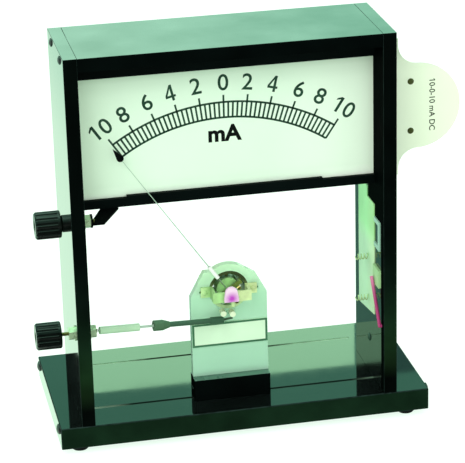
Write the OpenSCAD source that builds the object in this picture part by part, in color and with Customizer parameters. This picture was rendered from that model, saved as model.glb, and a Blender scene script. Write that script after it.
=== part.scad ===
/* [Frame] */
// Outer width across both side walls
frame_w = 240; // [224:1:300]
// Height of the side walls above the base
frame_h = 282; // [266:1:340]
// Depth of the side walls and the top panel
frame_d = 84; // [76:1:110]
// Thickness of the black sheet of the walls and the top panel
sheet_t = 10; // [8:0.5:12]
// Radius of the screws through the walls
wall_screw_r = 1.6; // [1.2:0.1:2.2]
// Distance of the front wall screws from the front edge
wall_screw_front = 17.5; // [12:0.5:24]
// Distance between the front and rear wall screws
wall_screw_gap = 46; // [30:1:50]
// Distance of the front base screws from the front edge
base_screw_front = 28; // [24:1:32]
// Distance between the front and rear base screws
base_screw_gap = 34; // [20:1:40]

/* [Base] */
// How far the base stands out past the left wall
base_left = 16; // [12:1:30]
// How far the base stands out past the right wall
base_right = 25; // [12:1:40]
// Depth of the base
base_d = 136; // [120:1:170]
// Thickness of the base
base_t = 17; // [14:0.5:22]
// Distance of the two fine grooves from the front and rear edges of the base
groove_inset = 29; // [24:0.5:34]
// Width of the fine grooves
groove_w = 1.8; // [0.6:0.1:2]
// Diameter of the rubber feet
foot_d = 14; // [12:0.5:18]
// Height of the rubber feet
foot_h = 5; // [4:0.5:8]
// Distance of each foot's centre from the end of the base
foot_end = 15; // [10:0.5:24]
// Distance of each foot's centre from the long edge of the base
foot_edge = 12; // [10:0.5:20]
// Radius of the heads of the end screws
end_head_r = 4; // [2.5:0.1:5]

/* [Scale card] */
// Thickness of the card
card_t = 2; // [1.5:0.1:3]
// Distance of the card's face behind the front edge
card_y = 29; // [27:0.5:34]
// Clearance of the card in its guides and in the slot
slide_gap = 0.3; // [0.2:0.05:0.5]
// How far the tab stands out past the right wall
tab_len = 56; // [50:1:80]
// Radius of the round end of the tab
tab_r = 32.5; // [24:0.5:36]
// Radius of the hollow corners at the root of the tab
tab_fillet = 15; // [6:0.5:15]
// Length of full-height card outside the wall
card_shoulder = 9; // [2:0.5:9]
// Distance of the rivets from the wall
rivet_in = 18.5; // [14:0.5:24]
// Distance between the two rivets
rivet_gap = 38; // [20:1:44]
// Radius of the rivets' heads
rivet_head_r = 2.4; // [1.8:0.1:3.2]

/* [Card guides] */
// Height of the lower rail's underside above the base
rail_z = 160.5; // [150:0.5:170]
// Height of the lower rail
rail_h = 6.5; // [6:0.1:10]
// Extra height of the raised lip in the middle of the rail
lip_h = 1.4; // [0.5:0.1:3]
// Length of the raised lip
lip_w = 146; // [80:1:160]
// Height of the upper guide below the top panel
guide_h = 13.5; // [8:0.5:16]
// Thickness of the guides' legs
guide_leg = 3.6; // [2.5:0.1:4]
// Thickness of the guides' webs
guide_web = 3; // [2:0.1:4]

/* [Movement] */
// Offset of the movement and the scale's centre from the frame's centre line
movement_x = -1.5; // [-5:0.5:5]
// Height of the pointer's axis above the base
pivot_z = 85; // [80:0.5:92]
// Distance of the pointer's plane in front of the card
pointer_gap = 7; // [6.5:0.5:9]
// Thickness of the clear movement plate
plate_t = 6; // [5:0.5:8]
// Width of the movement plate
plate_w = 58; // [54:1:70]
// Height of the plate's shoulders below the pointer's axis
plate_shoulder = 4; // [0:0.5:10]
// Width of the flat top of the plate
plate_top_w = 37; // [34:1:44]
// Height of the plate's flat top above the pointer's axis
plate_top = 15.5; // [12:0.5:18]
// Radius of the round crown of the plate
crown_r = 20.5; // [20:0.5:26]
// Height of the black foot block
block_h = 17; // [12:0.5:22]
// How far the foot block stands out in front of the plate
block_step = 8; // [4:0.5:10]
// How far the foot block stands out behind the plate
block_back = 3; // [2:0.5:10]
// Outer radius of the yoke ring
ring_r = 15; // [14.5:0.1:17]
// Wall thickness of the yoke ring
ring_wall = 2.4; // [1.5:0.1:2.6]
// Length of the yoke ring
ring_len = 16; // [12:0.5:20]
// Radius of the core magnet
core_r = 8.8; // [7:0.1:9]
// Radial thickness of the coil
coil_t = 2; // [1:0.1:2.2]
// Width of the coil along its swing
coil_w = 3; // [2:0.1:4]
// Height of the label plate
label_h = 18.5; // [12:0.5:22]
// Distance of the label plate's upper edge below the pointer's axis
label_drop = 25.5; // [24:0.5:32]

/* [Pointer] */
// Length of the pointer from its axis to the end of the tip
pointer_len = 147; // [120:1:160]
// Angle of the resting pointer, left of upright
pointer_angle = 34.5; // [0:0.5:36]
// Diameter of the pointer rod
rod_d = 0.9; // [0.8:0.1:1.4]
// Diameter of the sleeve at the pointer's root
root_d = 3; // [2:0.1:3.4]
// Distance of the sleeve's outer end from the axis
root_len = 28; // [18:0.5:40]
// Radius of the round part of the tip
tip_r = 2.6; // [1.8:0.1:4]
// Length of the tip from its round centre to its point
tip_l = 9; // [6:0.5:14]
// Radius of the zero adjuster's cap
zero_cap_r = 5.8; // [4:0.1:7]

/* [Terminals] */
// Distance of the terminals behind the front edge
post_y = 10.5; // [10.5:0.5:14]
// Height of the upper terminal above the base
upper_z = 157.5; // [140:0.5:165]
// Height of the lower terminal above the base
lower_z = 71.5; // [50:0.5:90]
// Diameter of the fluted caps
cap_d = 20; // [14:0.5:20]
// Length of the fluted caps
cap_l = 18.6; // [16:0.1:24]
// Number of flutes round a cap
flutes = 16; // [10:1:20]
// Diameter of the threaded studs
stud_d = 3; // [2.6:0.1:3.2]
// Radius of the plug socket in each cap
socket_r = 2; // [1:0.1:2]
// Depth of the plug socket
socket_l = 9; // [6:0.5:12]
// Diameter of the collar under the upper cap
collar_d = 12.5; // [11:0.5:14]
// Length of the collar
collar_l = 6.4; // [4:0.1:8]
// How far the lower cap is turned out from the wall
lower_out = 10.8; // [10.8:0.1:12]
// Diameter of the nuts across their corners
nut_d = 10; // [8:0.5:12]

/* [Lead] */
// Diameter of the lead's bare conductor
core_d = 1.8; // [1:0.1:2.2]
// Diameter of the grey ferrule
ferrule_d = 5.6; // [4:0.1:6]
// Diameter of the dark boot
boot_d = 8; // [6:0.1:9]
// Diameter of the green sleeve
sleeve_d = 4; // [3:0.1:5]
// Diameter of the swollen end of the green sleeve
sleeve_end_d = 5.4; // [5:0.1:7]

/* [Contact side] */
// Thickness of the pale board on the right wall
board_t = 0.8; // [0.5:0.1:2]
// Distance of the board's front edge behind the front edge of the wall
board_y = 25.5; // [25:0.5:30]
// Width of the board
board_w = 45; // [36:0.5:50]
// Height of the board's top above the base
board_top = 151.5; // [140:0.5:158]
// Height of the board's bottom above the base
board_bottom = 48; // [40:0.5:60]
// Length of the curly spring leads
curl_l = 9.5; // [8:0.5:16]
// Diameter of the red wire
wire_d = 2.6; // [1.2:0.1:3]

/* [Hidden] */
$fn = 48;

// Small values that every piece shares
eps = 0.05;
fit_gap = 0.05;
screw_gap = 0.1;

// Frame
half_w = frame_w / 2;
wall_in = half_w - sheet_t;
top_z = frame_h - sheet_t;
wall_screw_ys = [wall_screw_front, wall_screw_front + wall_screw_gap];
wall_screw_grip = 14;
wall_screw_l = sheet_t + wall_screw_grip;
wall_hole = wall_screw_grip + 2;
base_screw_ys = [base_screw_front, base_screw_front + base_screw_gap];
wall_head_r = 2 * wall_screw_r;
wall_head_h = 1.5;
base_screw_r = 1.8;
base_screw_grip = 12;
base_screw_l = base_t + base_screw_grip;
base_screw_head_r = 3.6;
base_screw_head_h = 2.6;
base_recess = 3.2;

// Base
base_x0 = -half_w - base_left;
base_w = frame_w + base_left + base_right;
base_x1 = base_x0 + base_w;
groove_depth = 0.5;
foot_xs = [base_x0 + foot_end, base_x1 - foot_end];
foot_ys = [foot_edge, base_d - foot_edge];
foot_screw_r = 1.5;
foot_screw_grip = 8;
foot_screw_l = foot_h + foot_screw_grip;
foot_head_h = 1.2;
end_head_h = 2.2;
end_screw_r = 1.6;
end_screw_l = 9;
end_screw_in = 10;
end_screw_ys = [end_screw_in, base_d - end_screw_in];
end_screw_z = -end_head_r;

// Guides and card
groove_y0 = card_y - slide_gap;
groove_y1 = card_y + card_t + slide_gap;
guide_y0 = groove_y0 - guide_leg;
guide_y1 = groove_y1 + guide_leg;
lip_x = -2.5;
card_z0 = rail_z + guide_web + slide_gap;
card_z1 = top_z - guide_web - slide_gap;
card_mid = (card_z0 + card_z1) / 2;
card_end_gap = 2;
card_x0 = -wall_in + card_end_gap;
card_x1 = half_w + card_shoulder;
tab_end = half_w + tab_len;
tab_cx = tab_end - tab_r;
rivet_x = half_w + rivet_in;
rivet_zs = [card_mid - rivet_gap / 2, card_mid + rivet_gap / 2];
rivet_r = 1.4;
rivet_head_h = 0.8;
strip_t = 0.6;
strip_w = 6;

// Movement, front to back along the pointer's axis
pointer_y = card_y - pointer_gap;
plate_y = pointer_y + 8;
label_z = pivot_z - label_drop - label_h;
bridge_t = 1.5;
bridge_stand = 14.5;
bridge_y = plate_y - bridge_stand;
bridge_h = 8;
lever_t = 0.8;
lever_gap = 0.3;
lever_y = bridge_y - lever_gap - lever_t;
lever_r = 3.6;
lever_w = 2.4;
zero_cap_h = 3;
zero_cap_edge = 1.4;
spring_r0 = 1.7;
spring_stud = 6.3;
spring_pin_r = 0.5;
spring_r1 = spring_stud - spring_pin_r - 0.25;
spring_w = 0.22;
spring_h = 0.8;
spring_turns = 4;
front_spring_stand = 10.8;
front_spring_y = plate_y - front_spring_stand;
jewel_r = 1.6;
jewel_out = 2;
jewel_y = bridge_y - jewel_out;
jewel_l = 5.1;
hub_r = 3.2;
hub_h = 2.4;
collet_r = spring_r0 - spring_w / 2;
collet_h = 1.8;
arm_r = 0.7;
arm_l = 9.5;
weight_r = 1.7;
weight_l = 2.6;
staff_r = 0.9;
ring_in = ring_r - ring_wall;
core_y = plate_y + 1.2;
core_len = ring_len - 2.4;
core_pin_r = 1.3;
former_t = 0.4;
former_r = core_r + 0.5;
former_y0 = plate_y - 0.2;
former_y1 = plate_y + ring_len + 0.2;
former_w = coil_w + 0.6;
coil_end = 1.6;
coil_y0 = former_y0 - coil_end;
coil_y1 = former_y1 + coil_end;
coil_out = former_r + former_t + coil_t;
boss_r = 3;
boss_h = 0.8;
rear_spring_y = coil_y1 + 1.6;
rear_bridge_y = coil_y1 + 5.2;
rear_jewel_y = coil_y1 + 3.4;
leg_t = 2.2;
leg_gap = 0.6;
front_flange_l = 9;
rear_flange_l = 8.6;
front_leg = coil_out + leg_gap;
rear_leg = ring_r + leg_gap;
front_flange = front_leg + front_flange_l;
rear_flange = rear_leg + rear_flange_l;
flange_screw_r = 1;
flange_head_r = 1.9;
flange_head_h = 1.2;
flange_screw_l = plate_t / 2;
front_screw_in = 6.2;
rear_screw_in = 5.8;
front_screw_x = front_leg + front_screw_in;
rear_screw_x = rear_leg + rear_screw_in;
post_r = 2.2;
post_l = 6.5;
post_xs = [-5.5, 1.5];
post_drops = [16.5, 17.5];
post_places = [for (i = [0, 1]) [movement_x + post_xs[i], pivot_z - post_drops[i]]];
label_t = 0.8;
label_w = plate_w - 0.6;
block_d = block_step + plate_t + block_back;
block_y = plate_y - block_step;
block_slot = 10;
block_edge = 1;
block_screw_r = 1.8;
block_screw_l = base_t + block_h - block_slot - 1;
block_screw_in = 9;
block_screw_x = plate_w / 2 - block_screw_in;

// Pointer
peg_r = rod_d / 2;
root_r0 = ring_r + 1.5;
peg_len = root_r0 + 4;
rod_start = peg_len + 0.4;
tip_at = pointer_len - tip_l;
rod_end = tip_at + 1;
tip_t = rod_d + 0.4;

// Terminals
stud_r = stud_d / 2;
insert_r = 4;
insert_flange_r = 5.4;
insert_flange_h = 1.5;
stand_gap = 0.3;
upper_stand = collar_l + stand_gap;
insert_l = cap_l - 0.8;
thread_l = insert_l - socket_l;
stud_out = half_w + upper_stand + thread_l - 0.8;
washer_r = nut_d / 2 + 0.6;
washer_t = 1;
nut_t = 4;
lug_t = 1.5;
lug_r = 5;
upper_stud_in = wall_in - washer_t - nut_t - lug_t - 2;
lower_stud_in = wall_in - washer_t - nut_t - 1.5;
outer_nut_t = 4.2;
strap_t = 1.5;
strap_w = 13;
strap_in = 15;
strap_x = -wall_in + strap_in;
strap_drop = 3.6;
strap_neck = 10;
cap_chamfer = 1.2;
flute_r = 1.25;

// Lead: from the lower stud to the second tag post
lead_gap = 0.2;
lead_aside = 0.5;
lead_front = 5;
swell_short = 1;
lead_from = [-lower_stud_in + lead_gap, post_y, lower_z];
lead_to = [
    post_places[0][0] + lead_aside, plate_y - lead_front,
    post_places[0][1] - post_r - sleeve_end_d / 2 - lead_gap
];
lead_dir = lead_to - lead_from;
lead_len = norm(lead_dir);
ferrule_end = 0.32 * lead_len;
boot_start = 0.435 * lead_len;
boot_end = 0.56 * lead_len;
swell_start = 0.885 * lead_len;
swell_end = lead_len - swell_short;
hook_top = [post_places[1][0], lead_to[1], post_places[1][1] - post_r - core_d / 2 - 0.1];

// Contact side
board_x = wall_in - board_t;
board_back = board_y + board_w;
board_notch_w = 20;
board_notch_h = 8;
board_rise = 6.5;
curl_y = board_y + board_w / 3;
curl_low = 15;
curl_pitch = 33.5;
curl_zs = [board_bottom + curl_low, board_bottom + curl_low + curl_pitch];
curl_r = 2;
curl_wire_r = 0.45;
curl_gap = 0.1;
curl_turns = 4;
clip_t = 1.2;
clip_y = 9.5;
clip_w = 14.5;
clip_z = 111.5;
clip_h = 23;
clip_band = 3.4;
junction_t = 2;
junction_y = 8.5;
junction_w = 16;
junction_z = 82.5;
junction_h = 14;
wire_r = wire_d / 2;
wire_gap = 0.55;
wire_top = [wall_in - junction_t - wire_r - wire_gap, junction_y + junction_w - 3.5, junction_z + 5.5];
wire_low = [wall_in - wire_r - 0.2, 6.5, 53];
plug_y = 42;
plug_z = 29;
plug_r = 3;

// Origin: middle of the whole object's footprint, on the table
lower_cap_end = -half_w - lower_out - cap_l;
origin_x = (tab_end + lower_cap_end) / 2;

// Moves from the frame's own coordinates (centre line, front edge, base top) to the part's origin
module in_frame() {
    translate([-origin_x, -base_d / 2, foot_h + base_t]) children();
}

module along_x(x, y, z) {
    translate([x, y, z]) rotate([0, 90, 0]) children();
}

module along_y(x, y, z) {
    translate([x, y, z]) rotate([-90, 0, 0]) children();
}

// Extrudes an outline drawn in x and z, from y back to y + t
module upright(y, t) {
    translate([0, y + t, 0]) rotate([90, 0, 0]) linear_extrude(t) children();
}

// The resting pointer's own axes: z runs out along the pointer
module on_pointer() {
    translate([movement_x, 0, pivot_z]) rotate([0, -pointer_angle, 0]) children();
}

// A pan-head screw along z, with the underside of its head at z = 0 and its shank below
module pan_screw(shank_r, shank_l, head_r, head_h) {
    rotate_extrude() {
        translate([0, -shank_l]) square([shank_r, shank_l + head_h / 2]);
        intersection() {
            square([head_r, head_h]);
            translate([0, head_h - 1.6 * head_r]) circle(1.6 * head_r, $fn = 96);
        }
    }
}

module base_plate() {
    color("#10231c") in_frame() difference() {
        translate([base_x0, 0, -base_t]) cube([base_w, base_d, base_t]);
        for (y = [groove_inset, base_d - groove_inset])
            translate([-wall_in, y, -groove_depth]) cube([2 * wall_in, groove_w, groove_depth + eps]);
        for (x = foot_xs, y = foot_ys)
            translate([x, y, -base_t - eps])
                cylinder(r = foot_screw_r + screw_gap, h = foot_screw_l - foot_h + 2);
        for (s = [-1, 1], y = base_screw_ys) translate([s * (half_w - sheet_t / 2), y, -base_t - eps]) {
            cylinder(r = base_screw_r + screw_gap, h = base_t + 2 * eps);
            cylinder(r = base_screw_head_r + 0.4, h = base_recess + eps);
        }
        for (s = [-1, 1]) translate([movement_x + s * block_screw_x, plate_y + plate_t / 2, -base_t - eps]) {
            cylinder(r = block_screw_r + screw_gap, h = base_t + 2 * eps);
            cylinder(r = base_screw_head_r + 0.4, h = base_recess + eps);
        }
        for (y = end_screw_ys) {
            along_x(base_x0 - eps, y, end_screw_z) cylinder(r = end_screw_r + screw_gap, h = end_screw_l + 1);
            along_x(base_x1 + eps, y, end_screw_z) mirror([0, 0, 1])
                cylinder(r = end_screw_r + screw_gap, h = end_screw_l + 1);
        }
    }
}

module rubber_feet() {
    color("#101010") in_frame() for (x = foot_xs, y = foot_ys) translate([x, y, -base_t - foot_h])
        rotate_extrude() difference() {
            polygon([[0, 0], [foot_d / 2 - 1.2, 0], [foot_d / 2, 1.4], [foot_d / 2, foot_h], [0, foot_h]]);
            translate([-eps, -eps]) square([foot_screw_r + screw_gap + eps, foot_h + 2 * eps]);
            translate([-eps, -eps]) square([2.2 * foot_screw_r + eps, foot_h / 2 + eps]);
        }
}

module foot_screws() {
    color("silver") in_frame() for (x = foot_xs, y = foot_ys)
        translate([x, y, -base_t - foot_h / 2]) mirror([0, 0, 1])
            pan_screw(foot_screw_r, foot_screw_l - foot_h / 2, 2 * foot_screw_r, foot_head_h);
}

module end_screws() {
    color("#181a19") in_frame() for (y = end_screw_ys) {
        translate([base_x0, y, end_screw_z]) rotate([0, -90, 0])
            pan_screw(end_screw_r, end_screw_l, end_head_r, end_head_h);
        translate([base_x1, y, end_screw_z]) rotate([0, 90, 0])
            pan_screw(end_screw_r, end_screw_l, end_head_r, end_head_h);
    }
}

// Holes that both walls share: top screws, and base screws from below
module wall_holes(side) {
    for (y = wall_screw_ys)
        along_x(side * half_w - sheet_t - eps, y, top_z + sheet_t / 2)
            cylinder(r = wall_screw_r + screw_gap, h = 2 * sheet_t + 2 * eps);
    for (y = base_screw_ys)
        translate([side * (half_w - sheet_t / 2), y, -eps])
            cylinder(r = base_screw_r + screw_gap, h = base_screw_l - base_t + 2);
}

module left_wall() {
    color("#7fb79f") in_frame() difference() {
        translate([-half_w, 0, 0]) cube([sheet_t, frame_d, frame_h]);
        wall_holes(-1);
        for (z = [upper_z, lower_z])
            along_x(-half_w - eps, post_y, z) cylinder(r = stud_r + screw_gap, h = sheet_t + 2 * eps);
    }
}

module right_wall() {
    color("#0b1511") in_frame() difference() {
        translate([wall_in, 0, 0]) cube([sheet_t, frame_d, frame_h]);
        wall_holes(1);
        translate([wall_in - eps, groove_y0, card_z0 - slide_gap])
            cube([sheet_t + 2 * eps, groove_y1 - groove_y0, card_z1 - card_z0 + 2 * slide_gap]);
        along_x(wall_in - eps, wire_low[1], wire_low[2]) cylinder(r = wire_r + 0.2, h = 5);
        along_x(wall_in - eps, plug_y, plug_z) cylinder(r = 1.5 + screw_gap, h = 7);
    }
}

module top_panel() {
    color("#8fc9ae") in_frame() difference() {
        translate([-wall_in, 0, top_z]) cube([2 * wall_in, frame_d, sheet_t]);
        for (y = wall_screw_ys, s = [-1, 1])
            along_x(s * wall_in - wall_hole, y, top_z + sheet_t / 2)
                cylinder(r = wall_screw_r + screw_gap, h = 2 * wall_hole);
    }
}

module wall_screws() {
    color("#1b1d1c") in_frame() for (y = wall_screw_ys, s = [-1, 1])
        translate([s * half_w, y, top_z + sheet_t / 2]) rotate([0, s * 90, 0])
            pan_screw(wall_screw_r, wall_screw_l, wall_head_r, wall_head_h);
}

module base_screws() {
    color("silver") in_frame() for (y = base_screw_ys, s = [-1, 1])
        translate([s * (half_w - sheet_t / 2), y, -base_t + base_recess]) mirror([0, 0, 1])
            pan_screw(base_screw_r, base_screw_l - base_recess, base_screw_head_r, base_screw_head_h);
}

// The channel that both guides are cut from, drawn in y and z with its web at the bottom
module channel(height) {
    translate([-wall_in, 0, 0]) rotate([90, 0, 90]) linear_extrude(2 * wall_in) difference() {
        translate([guide_y0, 0]) square([guide_y1 - guide_y0, height]);
        translate([groove_y0, guide_web]) square([groove_y1 - groove_y0, height]);
    }
}

module upper_guide() {
    color("#16332b") in_frame() translate([0, 0, top_z]) mirror([0, 0, 1]) channel(guide_h);
}

module lower_rail() {
    color("#060a09") in_frame() translate([0, 0, rail_z]) {
        channel(rail_h);
        translate([lip_x - lip_w / 2, guide_y0, rail_h]) cube([lip_w, guide_leg, lip_h]);
    }
}

// Outline of the card with its tab and hollow corners
module card_outline() {
    translate([card_x0, card_z0]) square([card_x1 - card_x0, card_z1 - card_z0]);
    translate([card_x1 - eps, card_mid - tab_r]) square([tab_cx - card_x1 + eps, 2 * tab_r]);
    translate([tab_cx, card_mid]) circle(tab_r, $fn = 128);
    for (s = [0, 1]) translate([card_x1, card_mid]) mirror([0, s]) difference() {
        translate([-eps, tab_r - eps]) square(tab_fillet + eps);
        translate([tab_fillet, tab_r + tab_fillet]) circle(tab_fillet, $fn = 64);
    }
}

module scale_card() {
    color("#e4f5e2") in_frame() difference() {
        upright(card_y, card_t) card_outline();
        for (z = rivet_zs) along_y(rivet_x, card_y - eps, z)
            cylinder(r = rivet_r + fit_gap, h = card_t + 2 * eps);
    }
}

module card_rivets() {
    color("#8a7a22") in_frame() for (z = rivet_zs)
        along_y(rivet_x, card_y - rivet_head_h, z) rotate_extrude() {
            square([rivet_r, card_t + strip_t + 2 * rivet_head_h]);
            intersection() {
                square([rivet_head_r, rivet_head_h]);
                translate([0, 1.8 * rivet_head_r]) circle(1.8 * rivet_head_r, $fn = 64);
            }
            translate([0, rivet_head_h + card_t + strip_t]) square([rivet_head_r, rivet_head_h]);
        }
}

module shunt_strip() {
    color("#b08d57") in_frame() upright(card_y + card_t, strip_t) difference() {
        union() {
            translate([rivet_x - strip_w / 2, rivet_zs[0]]) square([strip_w, rivet_gap]);
            for (z = rivet_zs) translate([rivet_x, z]) circle(d = strip_w);
        }
        for (z = rivet_zs) translate([rivet_x, z]) circle(rivet_r + fit_gap);
    }
}

module foot_block() {
    color("#070b0a") in_frame() difference() {
        translate([movement_x - plate_w / 2 - block_edge, block_y, 0])
            cube([plate_w + 2 * block_edge, block_d, block_h]);
        translate([movement_x - plate_w / 2 - block_edge - 1, plate_y - fit_gap, block_h - block_slot])
            cube([plate_w + 2 * block_edge + 2, plate_t + 2 * fit_gap, block_slot + eps]);
        for (s = [-1, 1]) translate([movement_x + s * block_screw_x, plate_y + plate_t / 2, -eps])
            cylinder(r = block_screw_r + screw_gap, h = block_h - block_slot + eps);
    }
}

module block_screws() {
    color("silver") in_frame() for (s = [-1, 1])
        translate([movement_x + s * block_screw_x, plate_y + plate_t / 2, -base_t + base_recess])
            mirror([0, 0, 1])
                pan_screw(block_screw_r, block_screw_l - base_recess, base_screw_head_r, base_screw_head_h);
}

module plate_outline() {
    polygon([
        [-plate_w / 2, block_h - block_slot - pivot_z], [plate_w / 2, block_h - block_slot - pivot_z],
        [plate_w / 2, -plate_shoulder], [plate_top_w / 2, plate_top],
        [-plate_top_w / 2, plate_top], [-plate_w / 2, -plate_shoulder]
    ]);
    circle(crown_r, $fn = 96);
}

module movement_plate() {
    color("#a9dfc4", 0.7) in_frame() difference() {
        upright(plate_y, plate_t) translate([movement_x, pivot_z]) difference() {
            plate_outline();
            circle(ring_r + fit_gap, $fn = 96);
            for (s = [-1, 1]) {
                translate([s * front_screw_x, 0]) circle(flange_screw_r + fit_gap);
                translate([s * rear_screw_x, 0]) circle(flange_screw_r + fit_gap);
            }
        }
        for (p = post_places) along_y(p[0], plate_y - eps, p[1]) cylinder(r = post_r / 2 + fit_gap, h = 3);
    }
}

module label_plate() {
    color("#dff0d8") in_frame()
        translate([movement_x - label_w / 2, plate_y - label_t, label_z]) cube([label_w, label_t, label_h]);
}

module yoke_ring() {
    color("#39431c") in_frame() difference() {
        along_y(movement_x, plate_y, pivot_z) difference() {
            cylinder(r = ring_r, h = ring_len, $fn = 96);
            translate([0, 0, -eps]) cylinder(r = ring_in, h = ring_len + 2 * eps, $fn = 96);
        }
        translate([movement_x, core_y + core_len / 2, pivot_z - ring_r - 1])
            cylinder(r = core_pin_r + fit_gap, h = 2 * ring_r + 2);
    }
}

module core_magnet() {
    color("#4b4f4d") in_frame() difference() {
        along_y(movement_x, core_y, pivot_z) cylinder(r = core_r, h = core_len, $fn = 72);
        translate([movement_x, core_y + core_len / 2, pivot_z - core_r - 1])
            cylinder(r = core_pin_r + fit_gap, h = 2 * core_r + 2);
    }
}

// Two brass pins hold the core in the ring, clear of the coil's swing
module core_pins() {
    color("#b9973f") in_frame() for (s = [0, 1])
        translate([movement_x, core_y + core_len / 2, pivot_z]) mirror([0, 0, s])
            translate([0, 0, core_r - 3]) cylinder(r = core_pin_r, h = ring_r - core_r + 2.4);
}

// A strap bridge drawn from above in x and depth: bar, two legs and two outward flanges
module bridge_outline(leg_x, flange_x, depth) {
    translate([-leg_x - leg_t, 0]) square([2 * (leg_x + leg_t), bridge_t]);
    for (s = [0, 1]) mirror([s, 0]) {
        translate([leg_x, 0]) square([leg_t, depth]);
        translate([leg_x, depth - bridge_t]) square([flange_x - leg_x, bridge_t]);
    }
}

module front_bridge() {
    color("#c9a94a") in_frame() difference() {
        translate([movement_x, bridge_y, pivot_z - bridge_h / 2])
            linear_extrude(bridge_h) bridge_outline(front_leg, front_flange, plate_y - bridge_y);
        along_y(movement_x, bridge_y - eps, pivot_z) cylinder(r = jewel_r + fit_gap, h = bridge_t + 2 * eps);
        for (s = [-1, 1]) along_y(movement_x + s * front_screw_x, plate_y - bridge_t - eps, pivot_z)
            cylinder(r = flange_screw_r + fit_gap, h = bridge_t + 2 * eps);
    }
}

module rear_bridge() {
    color("#c9a94a") in_frame() difference() {
        union() {
            translate([movement_x, rear_bridge_y + bridge_t, pivot_z - bridge_h / 2]) mirror([0, 1, 0])
                linear_extrude(bridge_h)
                    bridge_outline(rear_leg, rear_flange, rear_bridge_y + bridge_t - plate_y - plate_t);
            along_y(movement_x, rear_spring_y, pivot_z - spring_stud)
                cylinder(r = spring_pin_r, h = rear_bridge_y - rear_spring_y + bridge_t);
            translate([movement_x - lever_w / 2, rear_bridge_y, pivot_z - spring_stud - 1])
                cube([lever_w, bridge_t, spring_stud]);
        }
        along_y(movement_x, rear_bridge_y - eps, pivot_z)
            cylinder(r = jewel_r + fit_gap, h = bridge_t + 2 * eps);
        for (s = [-1, 1]) along_y(movement_x + s * rear_screw_x, plate_y + plate_t - eps, pivot_z)
            cylinder(r = flange_screw_r + fit_gap, h = bridge_t + 2 * eps);
    }
}

module bridge_screws() {
    color("#a8884a") in_frame() for (s = [-1, 1]) {
        translate([movement_x + s * front_screw_x, plate_y - bridge_t, pivot_z]) rotate([90, 0, 0])
            pan_screw(flange_screw_r, bridge_t + flange_screw_l, flange_head_r, flange_head_h);
        translate([movement_x + s * rear_screw_x, plate_y + plate_t + bridge_t, pivot_z]) rotate([-90, 0, 0])
            pan_screw(flange_screw_r, bridge_t + flange_screw_l, flange_head_r, flange_head_h);
    }
}

// Jewel screw along z with a slot at its outer end and a conical cup at its inner end
module jewel_screw() {
    difference() {
        cylinder(r = jewel_r, h = jewel_l);
        translate([-jewel_r - 1, -0.25, -eps]) cube([2 * jewel_r + 2, 0.5, 0.7]);
        translate([0, 0, jewel_l - 0.8]) cylinder(r1 = 0.2, r2 = 1, h = 0.8 + eps);
    }
}

module front_jewel_screw() {
    color("#d9c27a") in_frame() along_y(movement_x, jewel_y, pivot_z) jewel_screw();
}

module rear_jewel_screw() {
    color("#d9c27a") in_frame()
        along_y(movement_x, rear_jewel_y + jewel_l, pivot_z) mirror([0, 0, 1]) jewel_screw();
}

module zero_lever() {
    color("#c9a94a") in_frame() difference() {
        union() {
            upright(lever_y, lever_t) translate([movement_x, pivot_z]) {
                circle(lever_r);
                translate([-lever_w / 2, -spring_stud]) square([lever_w, spring_stud]);
                translate([0, -spring_stud]) circle(d = lever_w);
            }
            along_y(movement_x, lever_y, pivot_z - spring_stud)
                cylinder(r = spring_pin_r, h = front_spring_y + spring_h - lever_y);
        }
        along_y(movement_x, lever_y - eps, pivot_z) cylinder(r = jewel_r + fit_gap, h = lever_t + 2 * eps);
    }
}

module zero_cap() {
    dome_h = zero_cap_h - zero_cap_edge;
    dome_r = (zero_cap_r * zero_cap_r + dome_h * dome_h) / (2 * dome_h);
    color("#d44fd6") in_frame() along_y(movement_x, lever_y, pivot_z) mirror([0, 0, 1])
        rotate_extrude($fn = 72) difference() {
            intersection() {
                square([zero_cap_r, zero_cap_h]);
                translate([0, zero_cap_h - dome_r]) circle(dome_r, $fn = 128);
            }
            translate([-eps, -eps]) square([jewel_r + 0.3 + eps, lever_y - jewel_y + 0.4 + eps]);
        }
}

module tag_posts() {
    color("#eef4d8") in_frame() for (p = post_places) along_y(p[0], plate_y - post_l, p[1]) rotate_extrude() {
        square([post_r, post_l]);
        square([post_r / 2, post_l + 2.4]);
    }
}

// A flat frame round the core: width across the swing, seen from above in x and depth
module coil_frame(half, y0, y1, wall_side, wall_end, w) {
    translate([0, 0, -w / 2]) linear_extrude(w) difference() {
        translate([-half, y0]) square([2 * half, y1 - y0]);
        translate([-half + wall_side, y0 + wall_end])
            square([2 * (half - wall_side), y1 - y0 - 2 * wall_end]);
    }
}

module coil_former() {
    color("silver") in_frame() on_pointer()
        coil_frame(former_r + former_t, former_y0, former_y1, former_t, former_t, former_w);
}

module coil_winding() {
    color("#8c4a1f") in_frame() on_pointer()
        coil_frame(coil_out, coil_y0, coil_y1, coil_t, coil_end, coil_w);
}

// Half-staff along z: boss on the coil, shaft and pivot point
module half_staff(shaft_l) {
    rotate_extrude() polygon([
        [0, 0], [boss_r, 0], [boss_r, boss_h], [staff_r, boss_h], [staff_r, shaft_l],
        [0.4, shaft_l + 0.3], [0.1, shaft_l + 0.8], [0, shaft_l + 0.8]
    ]);
}

module front_staff() {
    color("silver") in_frame() along_y(movement_x, coil_y0, pivot_z) mirror([0, 0, 1])
        half_staff(coil_y0 - jewel_y - jewel_l - 0.45);
}

module rear_staff() {
    color("silver") in_frame() {
        along_y(movement_x, coil_y1, pivot_z) half_staff(rear_jewel_y - coil_y1 - 0.45);
        along_y(movement_x, rear_spring_y - 0.4, pivot_z) cylinder(r = collet_r, h = spring_h + 0.6);
    }
}

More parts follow.
